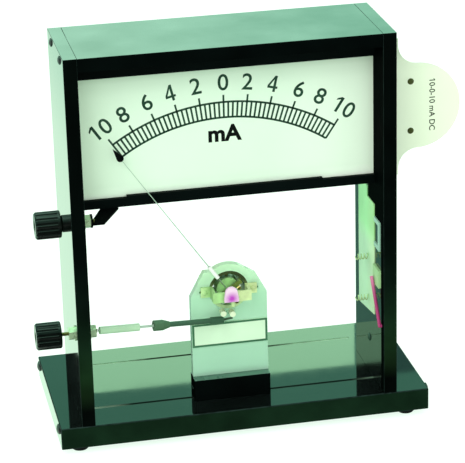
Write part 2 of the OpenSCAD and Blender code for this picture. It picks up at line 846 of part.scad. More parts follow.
// Flat spiral with both ends straight below the axis
module spiral() {
    steps = 24 * spring_turns;
    function at(i, side) =
        let (a = -90 + 360 * spring_turns * i / steps, r = spring_r0 + (spring_r1 - spring_r0) * i / steps)
        (r + side * spring_w / 2) * [cos(a), sin(a)];
    polygon([for (i = [0 : steps]) at(i, 1), for (i = [steps : -1 : 0]) at(i, -1)]);
}

module front_hairspring() {
    color("#c08a3e") in_frame() upright(front_spring_y, spring_h) translate([movement_x, pivot_z]) spiral();
}

module rear_hairspring() {
    color("#c08a3e") in_frame() upright(rear_spring_y, spring_h) translate([movement_x, pivot_z]) spiral();
}

module pointer_hub() {
    color("#b7b9b4") in_frame() on_pointer() difference() {
        union() {
            along_y(0, pointer_y - hub_h / 2, 0) cylinder(r = hub_r, h = hub_h);
            along_y(0, pointer_y - hub_h / 2 - collet_h, 0) cylinder(r = collet_r, h = collet_h + eps);
            translate([0, pointer_y, 0]) cylinder(r = peg_r, h = peg_len);
            for (a = [90, 180, 270])
                translate([0, pointer_y, 0]) rotate([0, a, 0]) cylinder(r = arm_r, h = arm_l);
        }
        along_y(0, pointer_y - hub_h - collet_h, 0) cylinder(r = staff_r + fit_gap, h = 2 * hub_h + collet_h);
    }
}

module balance_weights() {
    color("#c9a94a") in_frame() on_pointer() for (a = [90, 180, 270])
        translate([0, pointer_y, 0]) rotate([0, a, 0]) difference() {
            translate([0, 0, arm_l - weight_l - 0.6]) cylinder(r = weight_r, h = weight_l);
            cylinder(r = arm_r + fit_gap, h = arm_l);
        }
}

module pointer_root() {
    color("#f2f4ee") in_frame() on_pointer() translate([0, pointer_y, root_r0]) difference() {
        cylinder(d = root_d, h = root_len - root_r0);
        translate([0, 0, -eps]) cylinder(r = peg_r + fit_gap, h = root_len - root_r0 + 2 * eps);
    }
}

module pointer_rod() {
    color("#dfe6dc") in_frame() on_pointer() translate([0, pointer_y, rod_start])
        cylinder(r = peg_r, h = rod_end - rod_start);
}

// Drop-shaped tip: a round end with tangents that meet at the point
module tip_outline() {
    tangent = acos(tip_r / tip_l);
    circle(tip_r);
    polygon([[0, tip_l], tip_r * [sin(tangent), cos(tangent)], tip_r * [-sin(tangent), cos(tangent)]]);
}

module pointer_tip() {
    color("#0a0d0b") in_frame() on_pointer() difference() {
        upright(pointer_y - tip_t / 2, tip_t) translate([0, tip_at]) tip_outline();
        translate([0, pointer_y, tip_at - tip_r - 1]) cylinder(r = peg_r + fit_gap, h = tip_r + 2.2);
    }
}

// Places a terminal piece: z runs out of the left wall, from a distance outside its face
module on_post(height, out) {
    translate([-half_w - out, post_y, height]) rotate([0, -90, 0]) children();
}

module post_stud(height, inner_end) {
    in_frame() along_x(-stud_out, post_y, height) cylinder(r = stud_r, h = stud_out - inner_end);
}

module post_insert(height, out) {
    in_frame() on_post(height, out) difference() {
        union() {
            cylinder(r = insert_flange_r, h = insert_flange_h);
            cylinder(r = insert_r, h = insert_l);
        }
        translate([0, 0, -eps]) cylinder(r = stud_r + fit_gap, h = thread_l + eps);
        translate([0, 0, thread_l - eps]) cylinder(r = socket_r, h = socket_l + 1);
    }
}

module post_cap(height, out) {
    r = cap_d / 2;
    in_frame() on_post(height, out) difference() {
        rotate_extrude() difference() {
            polygon([
                [0, 0], [r - 0.6, 0], [r, 0.6], [r, cap_l - cap_chamfer], [r - cap_chamfer, cap_l], [0, cap_l]
            ]);
            translate([-eps, -eps]) square([insert_r + fit_gap + eps, cap_l + 2 * eps]);
            translate([-eps, -eps]) square([insert_flange_r + fit_gap + eps, insert_flange_h + 0.1 + eps]);
        }
        for (i = [0 : flutes - 1]) rotate([0, 0, 360 * i / flutes]) translate([r + 0.35 * flute_r, 0, 2.2])
            cylinder(r = flute_r, h = cap_l, $fn = 24);
    }
}

module hex_nut(thickness) {
    difference() {
        cylinder(d = nut_d, h = thickness, $fn = 6);
        translate([0, 0, -eps]) cylinder(r = stud_r + fit_gap, h = thickness + 2 * eps);
    }
}

module washer() {
    difference() {
        cylinder(r = washer_r, h = washer_t);
        translate([0, 0, -eps]) cylinder(r = stud_r + fit_gap, h = washer_t + 2 * eps);
    }
}

module upper_stud() {
    color("#8f8f78") post_stud(upper_z, upper_stud_in);
}

module upper_collar() {
    color("#0d100f") in_frame() on_post(upper_z, 0) rotate_extrude() difference() {
        polygon([
            [0, 0], [collar_d / 2, 0], [collar_d / 2, collar_l - 1],
            [collar_d / 2 - 1, collar_l], [0, collar_l]
        ]);
        translate([-eps, -eps]) square([stud_r + fit_gap + eps, collar_l + 2 * eps]);
    }
}

module upper_nuts() {
    color("#cfc9a0") in_frame() along_x(-wall_in, post_y, upper_z) {
        washer();
        translate([0, 0, washer_t]) hex_nut(nut_t);
    }
}

module upper_insert() {
    color("#c9a94a") post_insert(upper_z, upper_stand);
}

module upper_cap() {
    color("#0b100e") post_cap(upper_z, upper_stand);
}

module lower_stud() {
    color("#8f8f78") post_stud(lower_z, lower_stud_in);
}

module lower_nuts() {
    color("#d9dcc0") in_frame() {
        along_x(-wall_in, post_y, lower_z) {
            washer();
            translate([0, 0, washer_t]) hex_nut(nut_t);
        }
        on_post(lower_z, 0) {
            washer();
            translate([0, 0, washer_t]) hex_nut(outer_nut_t);
        }
    }
}

module lower_insert() {
    color("#c9a94a") post_insert(lower_z, lower_out);
}

module lower_cap() {
    color("#0b100e") post_cap(lower_z, lower_out);
}

// Lug on the upper stud, a bent web, and a pad under the rail
module terminal_strap() {
    lug_x = -wall_in + washer_t + nut_t;
    color("#050807") in_frame() difference() {
        union() {
            along_x(lug_x, post_y, upper_z) cylinder(r = lug_r, h = lug_t);
            hull() {
                translate([lug_x, post_y - strap_t / 2, upper_z - strap_drop]) cube([strap_neck, strap_t, strap_t]);
                translate([strap_x, guide_y0, rail_z - strap_t]) cube([strap_w, strap_t, strap_t]);
            }
            translate([strap_x, guide_y0, rail_z - strap_t]) cube([strap_w, guide_y1 - guide_y0, strap_t]);
        }
        along_x(lug_x - 1, post_y, upper_z) cylinder(r = stud_r + fit_gap, h = strap_w + 4);
    }
}

// Places a piece along the lead, from a distance along it
module on_lead(at) {
    translate(lead_from + lead_dir * at / lead_len)
        rotate([0, acos(lead_dir[2] / lead_len), atan2(lead_dir[1], lead_dir[0])]) children();
}

module rod_between(a, b, r) {
    d = b - a;
    translate(a) rotate([0, acos(d[2] / norm(d)), atan2(d[1], d[0])]) cylinder(r = r, h = norm(d));
}

module lead_core() {
    color("#2c4a38") in_frame() {
        on_lead(0) cylinder(d = core_d, h = lead_len);
        translate(lead_to) sphere(d = core_d + 0.2);
        rod_between(lead_to, hook_top, core_d / 2);
    }
}

module lead_tube(from, to, d) {
    on_lead(from) difference() {
        cylinder(d = d, h = to - from);
        translate([0, 0, -eps]) cylinder(d = core_d + 2 * fit_gap, h = to - from + 2 * eps);
    }
}

module lead_ferrule() {
    color("#c8d4c9") in_frame() lead_tube(1, ferrule_end, ferrule_d);
}

module lead_boot() {
    color("#1e3a2c") in_frame() on_lead(boot_start) rotate_extrude() difference() {
        polygon([
            [0, 0], [boot_d / 2, 0], [boot_d / 2, 0.55 * (boot_end - boot_start)],
            [sleeve_d / 2 + 0.3, boot_end - boot_start], [0, boot_end - boot_start]
        ]);
        translate([-eps, -eps]) square([core_d / 2 + fit_gap + eps, boot_end - boot_start + 2 * eps]);
    }
}

module lead_sleeve() {
    color("#4f8f63") in_frame() {
        on_lead(boot_end) rotate_extrude() difference() {
            polygon([
                [0, 0], [sleeve_d / 2, 0], [sleeve_d / 2, swell_start - boot_end],
                [sleeve_end_d / 2, swell_start - boot_end + (sleeve_end_d - sleeve_d) / 2],
                [sleeve_end_d / 2, swell_end - boot_end], [0, swell_end - boot_end]
            ]);
            translate([-eps, -eps]) square([core_d / 2 + fit_gap + eps, swell_end - boot_end + 2 * eps]);
        }
    }
}

module contact_board() {
    color("#b9f0bd") in_frame() translate([board_x, 0, 0]) rotate([90, 0, 90])
        linear_extrude(board_t) polygon([
            [board_back, board_bottom], [board_back, board_top], [board_y + board_notch_w, board_top],
            [board_y + board_notch_w, board_top - board_notch_h], [board_y, board_top - board_notch_h],
            [board_y, board_bottom + board_rise]
        ]);
}

// One curly lead: turns of wire that run out from the board
curl_steps = 14 * curl_turns;
function curl_angle(i) = 360 * curl_turns * i / curl_steps;
function curl_point(i) =
    [curl_wire_r + curl_gap + curl_l * i / curl_steps, curl_r * cos(curl_angle(i)), curl_r * sin(curl_angle(i))];
function unit(v) = v / norm(v);

// Ring of the wire's section, square to the way it runs there
function curl_ring(i, sides) =
    let (
        t = unit(curl_point(i + 0.5) - curl_point(i - 0.5)),
        n = [0, cos(curl_angle(i)), sin(curl_angle(i))],
        b = cross(t, n)
    )
    [for (k = [0 : sides - 1])
        curl_point(i) + curl_wire_r * (cos(360 * k / sides) * n + sin(360 * k / sides) * b)];

module curly_lead() {
    sides = 6;
    rings = [for (i = [0 : curl_steps]) each curl_ring(i, sides)];
    walls = [for (i = [0 : curl_steps - 1], k = [0 : sides - 1])
        let (a = i * sides + k, b = i * sides + (k + 1) % sides)
        each [[a, b, b + sides], [a, b + sides, a + sides]]];
    first = [for (k = [sides - 1 : -1 : 0]) k];
    last = [for (k = [0 : sides - 1]) curl_steps * sides + k];
    polyhedron(points = rings, faces = concat([first], walls, [last]), convexity = 6);
}

module spring_leads() {
    color("#e9e6c4") in_frame() for (z = curl_zs)
        translate([board_x, curl_y, z]) mirror([1, 0, 0]) curly_lead();
}

module wall_clip() {
    color("#a9d8c4") in_frame() translate([wall_in - clip_t, clip_y, clip_z]) rotate([90, 0, 90])
        linear_extrude(clip_t) difference() {
            square([clip_w, clip_h]);
            translate([clip_band, clip_band]) square([clip_w, clip_h - 2 * clip_band]);
        }
}

module junction_block() {
    color("#b7dcae") in_frame() translate([wall_in - junction_t, junction_y, junction_z])
        cube([junction_t, junction_w, junction_h]);
}

module red_wire() {
    color("#b02a5b") in_frame() {
        rod_between(wire_top, wire_low, wire_r);
        translate(wire_low) sphere(r = wire_r + 0.1);
        along_x(wire_low[0], wire_low[1], wire_low[2]) cylinder(r = wire_r, h = 4);
    }
}

module wall_plug() {
    color("#1d3a2f") in_frame() translate([wall_in, plug_y, plug_z]) rotate([0, -90, 0])
        pan_screw(1.5, 6, plug_r, 1.4);
}

base_plate();
rubber_feet();
foot_screws();
end_screws();
left_wall();
right_wall();
top_panel();
wall_screws();
base_screws();
upper_guide();
lower_rail();
scale_card();
card_rivets();
shunt_strip();
foot_block();
block_screws();
movement_plate();
label_plate();
yoke_ring();
core_magnet();
core_pins();
front_bridge();
rear_bridge();
bridge_screws();
front_jewel_screw();
rear_jewel_screw();
zero_lever();
zero_cap();
tag_posts();
coil_former();
coil_winding();
front_staff();
rear_staff();
front_hairspring();
rear_hairspring();
pointer_hub();
balance_weights();
pointer_root();
pointer_rod();
pointer_tip();
upper_stud();
upper_collar();
upper_nuts();
upper_insert();
upper_cap();
lower_stud();
lower_nuts();
lower_insert();
lower_cap();
terminal_strap();
lead_core();
lead_ferrule();
lead_boot();
lead_sleeve();
contact_board();
spring_leads();
wall_clip();
junction_block();
red_wire();
wall_plug();
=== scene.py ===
import math

import bmesh
import bpy
from mathutils import Matrix, Vector


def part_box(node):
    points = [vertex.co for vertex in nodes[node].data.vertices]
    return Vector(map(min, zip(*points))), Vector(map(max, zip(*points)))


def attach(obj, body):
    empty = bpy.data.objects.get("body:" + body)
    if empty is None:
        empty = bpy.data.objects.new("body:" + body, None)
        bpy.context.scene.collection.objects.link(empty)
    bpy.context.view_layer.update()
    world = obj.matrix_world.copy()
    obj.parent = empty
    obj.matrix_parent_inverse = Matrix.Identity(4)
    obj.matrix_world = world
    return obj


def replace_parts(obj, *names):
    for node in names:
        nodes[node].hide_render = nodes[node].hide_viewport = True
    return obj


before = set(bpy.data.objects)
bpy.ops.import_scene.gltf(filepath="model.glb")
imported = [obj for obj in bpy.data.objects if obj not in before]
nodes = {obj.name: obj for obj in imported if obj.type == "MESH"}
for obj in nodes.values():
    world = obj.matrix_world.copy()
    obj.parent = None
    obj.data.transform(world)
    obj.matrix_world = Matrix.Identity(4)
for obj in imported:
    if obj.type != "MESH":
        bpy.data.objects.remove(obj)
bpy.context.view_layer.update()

# The studio: a camera with a long lens, a little to the left of the meter and looking down on it,
# a white floor, an even white surround, one soft box, and glowing panels and dark flags round the
# meter that only polished faces mirror.
scene = bpy.context.scene
scene.view_settings.view_transform = "Standard"
scene.view_settings.look = "None"

camera = bpy.data.objects.new("camera", bpy.data.cameras.new("camera"))
camera_spot = (-0.3134, -1.5844, 0.7604)
camera_yaw, camera_pitch = math.radians(11.078), math.radians(21.078)
camera_roll = math.radians(-1.584)
forward = Vector((
    math.sin(camera_yaw) * math.cos(camera_pitch),
    math.cos(camera_yaw) * math.cos(camera_pitch),
    -math.sin(camera_pitch),
))
level_right = forward.cross(Vector((0, 0, 1))).normalized()
level_up = level_right.cross(forward)
right = level_right * math.cos(camera_roll) + level_up * math.sin(camera_roll)
up = level_up * math.cos(camera_roll) - level_right * math.sin(camera_roll)
turn = Matrix((right, up, -forward)).transposed()
camera.matrix_world = Matrix.Translation(camera_spot) @ turn.to_4x4()
camera.data.lens = 177.04
camera.data.sensor_width = 36.0
camera.data.clip_start = 0.01
scene.collection.objects.link(camera)
scene.camera = camera

world = bpy.data.worlds.new("surround")
world.use_nodes = True
scene.world = world
sky = world.node_tree
sky.nodes["Background"].inputs["Color"].default_value = (1.0, 1.0, 1.0, 1.0)
sky.nodes["Background"].inputs["Strength"].default_value = 1.12
mirrored = sky.nodes.new("ShaderNodeBackground")
mirrored.inputs["Color"].default_value = (0.26, 0.80, 0.56, 1.0)
mirrored.inputs["Strength"].default_value = 1.2
ray = sky.nodes.new("ShaderNodeLightPath")
choose = sky.nodes.new("ShaderNodeMixShader")
sky.links.new(ray.outputs["Is Glossy Ray"], choose.inputs[0])
sky.links.new(sky.nodes["Background"].outputs[0], choose.inputs[1])
sky.links.new(mirrored.outputs[0], choose.inputs[2])
sky.links.new(choose.outputs[0], sky.nodes["World Output"].inputs["Surface"])

floor_paint = bpy.data.materials.new("floor_paint")
floor_paint.use_nodes = True
floor_shader = floor_paint.node_tree.nodes["Principled BSDF"]
floor_shader.inputs["Base Color"].default_value = (0.30, 0.34, 0.31, 1)
floor_shader.inputs["Roughness"].default_value = 0.9
floor_shader.inputs["Specular IOR Level"].default_value = 0.1
floor_shader.inputs["Emission Color"].default_value = (0.86, 1, 0.9, 1)
floor_shader.inputs["Emission Strength"].default_value = 0.92
floor_mesh = bmesh.new()
bmesh.ops.create_grid(floor_mesh, x_segments=1, y_segments=1, size=6.0)
floor = bpy.data.objects.new("floor", bpy.data.meshes.new("floor"))
floor_mesh.to_mesh(floor.data)
floor_mesh.free()
floor.data.materials.append(floor_paint)
scene.collection.objects.link(floor)

soft_box = bpy.data.objects.new("soft_box", bpy.data.lights.new("soft_box", "AREA"))
soft_box.data.shape = "RECTANGLE"
soft_box.data.size, soft_box.data.size_y = 0.9, 0.7
soft_box.data.energy = 8
soft_box.location = (-0.9, -1.1, 1.3)
lit_spot = Vector((0, 0, 0.12))
soft_box.rotation_euler = (lit_spot - soft_box.location).to_track_quat("-Z", "Y").to_euler()
scene.collection.objects.link(soft_box)


def hang(name, corner_low, corner_high, finish):
    """Hangs a flat sheet in the studio that shows only in polished faces."""
    (x0, y0, z0), (x1, y1, z1) = corner_low, corner_high
    mesh = bmesh.new()
    mesh.faces.new([
        mesh.verts.new(corner)
        for corner in ((x0, y0, z0), (x1, y0, z0), (x1, y1, z1), (x0, y1, z1))
    ])
    hung = bpy.data.objects.new(name, bpy.data.meshes.new(name))
    mesh.to_mesh(hung.data)
    mesh.free()
    hung.data.materials.append(finish)
    hung.visible_camera = hung.visible_diffuse = False
    hung.visible_shadow = hung.visible_transmission = False
    scene.collection.objects.link(hung)


sheet_lift = 0.0006
for panel_name, glow_left, glow_right, (glow_from, glow_to), corner_low, corner_high in (
    (
        "panel_high", (1.35, 2.55, 1.85), (0.80, 1.95, 1.35), (-0.1, 0.22),
        (-0.60, 0.30, 0.36), (0.90, 0.30, 0.66),
    ),
    (
        "panel_low", (2.05, 4.0, 2.45), (2.05, 4.0, 2.45), (-0.1, 0.22),
        (-0.091, 0.30, 0.115), (0.168, 0.30, 0.168),
    ),
    (
        "panel_over", (3.0, 5.6, 4.2), (3.0, 5.6, 4.2), (-0.7, 0.4),
        (-0.70, -0.35, 1.10), (0.40, 0.35, 1.10),
    ),
    (
        "panel_end", (0.14, 0.40, 0.32), (0.14, 0.40, 0.32), (0.175, 0.40),
        (0.175, 0.30, 0.09), (0.40, 0.30, 0.182),
    ),
    (
        "panel_left", (0.62, 1.15, 0.84), (1.15, 1.62, 1.24), (-0.29, -0.21),
        (-0.75, -0.068, sheet_lift), (-0.137, 1.20, sheet_lift),
    ),
):
    glow_paint = bpy.data.materials.new(panel_name + "_glow")
    glow_paint.use_nodes = True
    glow_tree = glow_paint.node_tree
    glow_tree.nodes.clear()
    glowing = glow_tree.nodes.new("ShaderNodeEmission")
    glow_place = glow_tree.nodes.new("ShaderNodeTexCoord")
    glow_across = glow_tree.nodes.new("ShaderNodeSeparateXYZ")
    glow_span = glow_tree.nodes.new("ShaderNodeMapRange")
    glow_span.inputs["From Min"].default_value = glow_from
    glow_span.inputs["From Max"].default_value = glow_to
    glow_mix = glow_tree.nodes.new("ShaderNodeMix")
    glow_mix.data_type = "RGBA"
    glow_mix.inputs[6].default_value = (*glow_left, 1)
    glow_mix.inputs[7].default_value = (*glow_right, 1)
    glow_end = glow_tree.nodes.new("ShaderNodeOutputMaterial")
    glow_tree.links.new(glow_place.outputs["Object"], glow_across.inputs[0])
    glow_tree.links.new(glow_across.outputs["X"], glow_span.inputs["Value"])
    glow_tree.links.new(glow_span.outputs["Result"], glow_mix.inputs[0])
    glow_tree.links.new(glow_mix.outputs[2], glowing.inputs["Color"])
    glow_tree.links.new(glowing.outputs[0], glow_end.inputs["Surface"])
    hang(panel_name, corner_low, corner_high, glow_paint)

for flag_name, flag_colour, corner_low, corner_high in (
    ("flag_behind", (0.09, 0.28, 0.20), (-0.11, 0.075, sheet_lift), (0.12, 0.825, sheet_lift)),
    ("flag_before", (0.012, 0.03, 0.024), (-0.70, -0.95, sheet_lift), (0.70, -0.085, sheet_lift)),
    ("flag_camera", (0.012, 0.03, 0.024), (-3.0, -2.4, sheet_lift), (3.0, -2.0, 2.0)),
    ("flag_far", (0.004, 0.008, 0.006), (-0.60, 1.20, 0.25), (-0.08, 1.20, 1.0)),
):
    flag_cloth = bpy.data.materials.new(flag_name + "_cloth")
    flag_cloth.use_nodes = True
    flag_shader = flag_cloth.node_tree.nodes["Principled BSDF"]
    flag_shader.inputs["Base Color"].default_value = (*flag_colour, 1)
    flag_shader.inputs["Roughness"].default_value = 1.0
    hang(flag_name, corner_low, corner_high, flag_cloth)


# Base: a thick slab of black acrylic sheet, sawn to size, with its edges broken and its top
# polished. Two shallow grooves are milled across the top between the walls, which stand on the
# slab and are screwed to it from below.
def paint(
    name, colour, rough, vary=0.12, patch=35.0, grain=700.0, rough_spread=0.08, bump=0.05,
    metal=0.0, sheen=0.5, glint=(1.0, 1.0, 1.0),
):
    """A plain finish whose shade, gloss and relief wander a little over the piece."""
    made = bpy.data.materials.new(name)
    made.use_nodes = True
    tree = made.node_tree
    shader = tree.nodes["Principled BSDF"]
    shader.inputs["Metallic"].default_value = metal
    shader.inputs["Specular IOR Level"].default_value = sheen
    shader.inputs["Specular Tint"].default_value = (*glint, 1)
    cloud_low, cloud_high, relief_depth = 0.3, 0.7, 0.0002
    place = tree.nodes.new("ShaderNodeTexCoord")
    cloud = tree.nodes.new("ShaderNodeTexNoise")
    cloud.inputs["Scale"].default_value = patch
    cloud.inputs["Detail"].default_value = 4.0
    shade = tree.nodes.new("ShaderNodeValToRGB")
    deep, pale = shade.color_ramp.elements[0], shade.color_ramp.elements[1]
    deep.position, pale.position = cloud_low, cloud_high
    deep.color = (*[c * (1 - vary) for c in colour], 1)
    pale.color = (*[c * (1 + vary) for c in colour], 1)
    speck = tree.nodes.new("ShaderNodeTexNoise")
    speck.inputs["Scale"].default_value = grain
    speck.inputs["Detail"].default_value = 3.0
    gloss = tree.nodes.new("ShaderNodeMapRange")
    gloss.inputs["From Min"].default_value = cloud_low
    gloss.inputs["From Max"].default_value = cloud_high
    gloss.inputs["To Min"].default_value = max(0.02, rough - rough_spread)
    gloss.inputs["To Max"].default_value = min(1.0, rough + rough_spread)
    relief = tree.nodes.new("ShaderNodeBump")
    relief.inputs["Strength"].default_value = bump
    relief.inputs["Distance"].default_value = relief_depth
    tree.links.new(place.outputs["Object"], cloud.inputs["Vector"])
    tree.links.new(place.outputs["Object"], speck.inputs["Vector"])
    tree.links.new(cloud.outputs["Fac"], shade.inputs["Fac"])
    tree.links.new(shade.outputs["Color"], shader.inputs["Base Color"])
    tree.links.new(cloud.outputs["Fac"], gloss.inputs["Value"])
    tree.links.new(gloss.outputs["Result"], shader.inputs["Roughness"])
    tree.links.new(speck.outputs["Fac"], relief.inputs["Height"])
    tree.links.new(relief.outputs["Normal"], shader.inputs["Normal"])
    return made


def fade(finish, axis, *stops):
    """Tints a finish along an axis; each stop is a place in metres and the tint there."""
    tree = finish.node_tree
    place = tree.nodes.new("ShaderNodeTexCoord")
    along = tree.nodes.new("ShaderNodeSeparateXYZ")
    span = tree.nodes.new("ShaderNodeMapRange")
    start, end = stops[0][0], stops[-1][0]
    span.inputs["From Min"].default_value = start
    span.inputs["From Max"].default_value = end
    tints = tree.nodes.new("ShaderNodeValToRGB")
    for spot, tint in stops[1:-1]:
        between = tints.color_ramp.elements.new((spot - start) / (end - start))
        between.color = (*tint, 1)
    tints.color_ramp.elements[0].color = (*stops[0][1], 1)
    tints.color_ramp.elements[len(stops) - 1].color = (*stops[-1][1], 1)
    blend = tree.nodes.new("ShaderNodeMix")
    blend.data_type, blend.blend_type = "RGBA", "MULTIPLY"
    blend.inputs[0].default_value = 1.0
    base_colour = tree.nodes["Principled BSDF"].inputs["Base Color"]
    tree.links.new(base_colour.links[0].from_socket, blend.inputs[6])
    tree.links.new(place.outputs["Object"], along.inputs[0])
    tree.links.new(along.outputs[axis], span.inputs["Value"])
    tree.links.new(span.outputs["Result"], tints.inputs["Fac"])
    tree.links.new(tints.outputs["Color"], blend.inputs[7])
    tree.links.new(blend.outputs[2], base_colour)


def add_piece(mesh, name, body, slot, *finishes, crease=32):
    """Links a finished bmesh as a piece that rides on a body, sharp over the crease angle."""
    made = bpy.data.objects.new(name, bpy.data.meshes.new(name))
    mesh.normal_update()
    mesh.to_mesh(made.data)
    mesh.free()
    for finish in finishes:
        made.data.materials.append(finish)
    for face in made.data.polygons:
        face.use_smooth = True
    made.data.set_sharp_from_angle(angle=math.radians(crease))
    scene.collection.objects.link(made)
    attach(made, body)
    return made


def sheet_block(low, high, edge):
    """A block of sheet with its edges broken."""
    mesh = bmesh.new()
    bmesh.ops.create_cube(mesh, size=1.0)
    bmesh.ops.scale(mesh, vec=high - low, verts=mesh.verts)
    bmesh.ops.translate(mesh, vec=(low + high) / 2, verts=mesh.verts)
    bmesh.ops.bevel(
        mesh, geom=mesh.edges[:], offset=edge, offset_type="OFFSET", segments=2, profile=0.5,
        affect="EDGES", material=-1,
    )
    return mesh


def on_broken_edge(face):
    """Whether a face of a block belongs to its broken edges."""
    return max(abs(n) for n in face.normal) < 0.95


def score(mesh, spot, normal, near=0.0):
    """Cuts every face that a plane crosses, and keeps both sides."""
    bmesh.ops.bisect_plane(
        mesh, geom=mesh.verts[:] + mesh.edges[:] + mesh.faces[:], dist=near,
        plane_co=spot, plane_no=normal,
    )


def draw_out(mesh, faces, way, keep=True):
    """Draws faces out by a vector; the faces they leave behind stay as the other end, or go."""
    drawn = bmesh.ops.extrude_face_region(mesh, geom=faces, use_keep_orig=keep)
    if not keep:
        bmesh.ops.delete(mesh, geom=faces, context="FACES")
    moved = [v for v in drawn["geom"] if isinstance(v, bmesh.types.BMVert)]
    bmesh.ops.translate(mesh, vec=way, verts=moved)
    bmesh.ops.recalc_face_normals(mesh, faces=mesh.faces[:])


sheet_glint = (0.82, 1.0, 0.87)
polished_black = paint(
    "polished_black", (0.004, 0.007, 0.006), 0.045, vary=0.3, rough_spread=0.02, bump=0.01,
    glint=sheet_glint,
)
sawn_black = paint(
    "sawn_black", (0.0012, 0.0025, 0.0022), 0.55, vary=0.3, grain=1800.0, bump=0.15, sheen=0.001,
)
base_edge = paint(
    "base_edge", (0.0042, 0.016, 0.007), 0.5, vary=0.3, grain=1800.0, bump=0.15, sheen=0.02,
)
# The broken edges are lighter and specked: partly wear, partly a painted highlight along the edges.
edge_wear_and_highlight = paint(
    "edge_wear_and_highlight", (0.010, 0.022, 0.018), 0.4, vary=0.6, patch=180.0, grain=1800.0, bump=0.1,
    sheen=0.06,
)

base_low, base_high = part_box("base_plate")
wall_low, wall_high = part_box("left_wall")
far_low, far_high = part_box("right_wall")
base_break, sheet_crease = 0.0007, 20
groove_width, groove_depth, groove_inset = 0.0028, 0.0005, 0.029
groove_starts = (base_low.y + groove_inset, base_high.y - groove_inset)
base = sheet_block(base_low, base_high, base_break)
for groove_end in (wall_high.x, far_low.x):
    score(base, (groove_end, 0, 0), (1, 0, 0), near=1e-7)
for groove_y in groove_starts:
    for groove_side in (groove_y, groove_y + groove_width):
        score(base, (0, groove_side, 0), (0, 1, 0), near=1e-7)
base.normal_update()
for groove_y in groove_starts:
    groove_floor = [
        face for face in base.faces
        if face.normal.z > 0.9
        and wall_high.x < face.calc_center_median().x < far_low.x
        and groove_y < face.calc_center_median().y < groove_y + groove_width
    ]
    draw_out(base, groove_floor, (0, 0, -groove_depth), keep=False)

# The grooves are painted pale green and faded along their length as painted glints and shade: pale
# near the walls, dark across the middle.
front_groove_glints, rear_groove_glints = (
    paint(
        name, (0.34, 0.55, 0.38), 0.5, vary=0.25, patch=120.0, grain=1800.0, bump=0.15, sheen=0.05,
    )
    for name in ("front_groove_glints", "rear_groove_glints")
)
fade(
    front_groove_glints, "X",
    (wall_high.x, (1, 1, 1)),
    (wall_high.x + 0.012, (0.7, 0.7, 0.7)),
    (wall_high.x + 0.032, (0.02, 0.02, 0.02)),
    (far_low.x - 0.018, (0.02, 0.02, 0.02)),
    (far_low.x - 0.008, (0.2, 0.2, 0.2)),
    (far_low.x, (0.4, 0.4, 0.4)),
)
rear_dark_from, rear_dark_to, rear_pale_from = -0.065, 0.030, 0.055
fade(
    rear_groove_glints, "X",
    (wall_high.x, (1.1, 1.2, 1.1)),
    (wall_high.x + 0.045, (0.9, 1.0, 0.9)),
    (rear_dark_from, (0.08, 0.10, 0.08)),
    (rear_dark_to, (0.08, 0.10, 0.08)),
    (rear_pale_from, (0.8, 0.9, 0.8)),
    (far_low.x, (1.1, 1.2, 1.1)),
)
groove_top = base_high.z - 0.1 * groove_depth
groove_bottom = base_high.z - 1.1 * groove_depth
rim_margin = 0.01
for face in base.faces:
    spot = face.calc_center_median()
    between_walls = wall_high.x < spot.x < far_low.x and abs(spot.y) < base_high.y - rim_margin
    if between_walls and groove_bottom < spot.z < groove_top:
        face.material_index = 3 if spot.y < 0 else 4
    elif on_broken_edge(face):
        face.material_index = 2
    else:
        face.material_index = 1 if face.normal.y < -0.5 else 0
base_piece = add_piece(
    base, "base_slab", "frame", "black_sheet",
    polished_black, base_edge, edge_wear_and_highlight, front_groove_glints, rear_groove_glints, crease=sheet_crease,
)
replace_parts(base_piece, "base_plate")


# Feet and the base's screws: turned rubber buttons with bright screws sunk in them, bright screws
# sunk in the underside that hold the walls, and black pan-head screws with sawn slots in both ends.
def turned(outline, steps=32):
    """A closed solid turned from radii and heights that start and end on the axis."""
    mesh = bmesh.new()
    rim = [mesh.verts.new((radius, 0, height)) for radius, height in outline]
    line = [mesh.edges.new(pair) for pair in zip(rim, rim[1:])]
    bmesh.ops.spin(
        mesh, geom=rim + line, cent=(0, 0, 0), axis=(0, 0, 1), angle=2 * math.pi, steps=steps,
        use_merge=True,
    )
    bmesh.ops.remove_doubles(mesh, verts=mesh.verts[:], dist=1e-7)
    bmesh.ops.recalc_face_normals(mesh, faces=mesh.faces[:])
    return mesh


def saw_slot(mesh, half_width, floor):
    """Saws a slot across the top of a turned head, with two straight sides and a flat floor."""
    for spot, normal in (
        ((half_width, 0, 0), (1, 0, 0)),
        ((-half_width, 0, 0), (1, 0, 0)),
        ((0, 0, floor), (0, 0, 1)),
    ):
        head = [f for f in mesh.faces if f.calc_center_median().z > 0]
        edges = list(dict.fromkeys(e for f in head for e in f.edges))
        corners = list(dict.fromkeys(v for f in head for v in f.verts))
        bmesh.ops.bisect_plane(
            mesh, geom=head + edges + corners, dist=1e-8, plane_co=spot, plane_no=normal,
        )
    waste = [
        f for f in mesh.faces
        if abs(f.calc_center_median().x) < half_width and f.calc_center_median().z > floor
    ]
    bmesh.ops.delete(mesh, geom=waste, context="FACES")
    rim = {v for e in mesh.edges if e.is_boundary for v in e.verts}
    for side in (-half_width, half_width):
        cheek = [v for v in rim if abs(v.co.x - side) < 1e-6]
        mesh.faces.new(sorted(cheek, key=lambda v: v.co.y))
    bed = [v for v in rim if abs(v.co.z - floor) < 1e-6]
    mesh.faces.new(sorted(bed, key=lambda v: math.atan2(v.co.y, v.co.x)))
    bmesh.ops.recalc_face_normals(mesh, faces=mesh.faces[:])


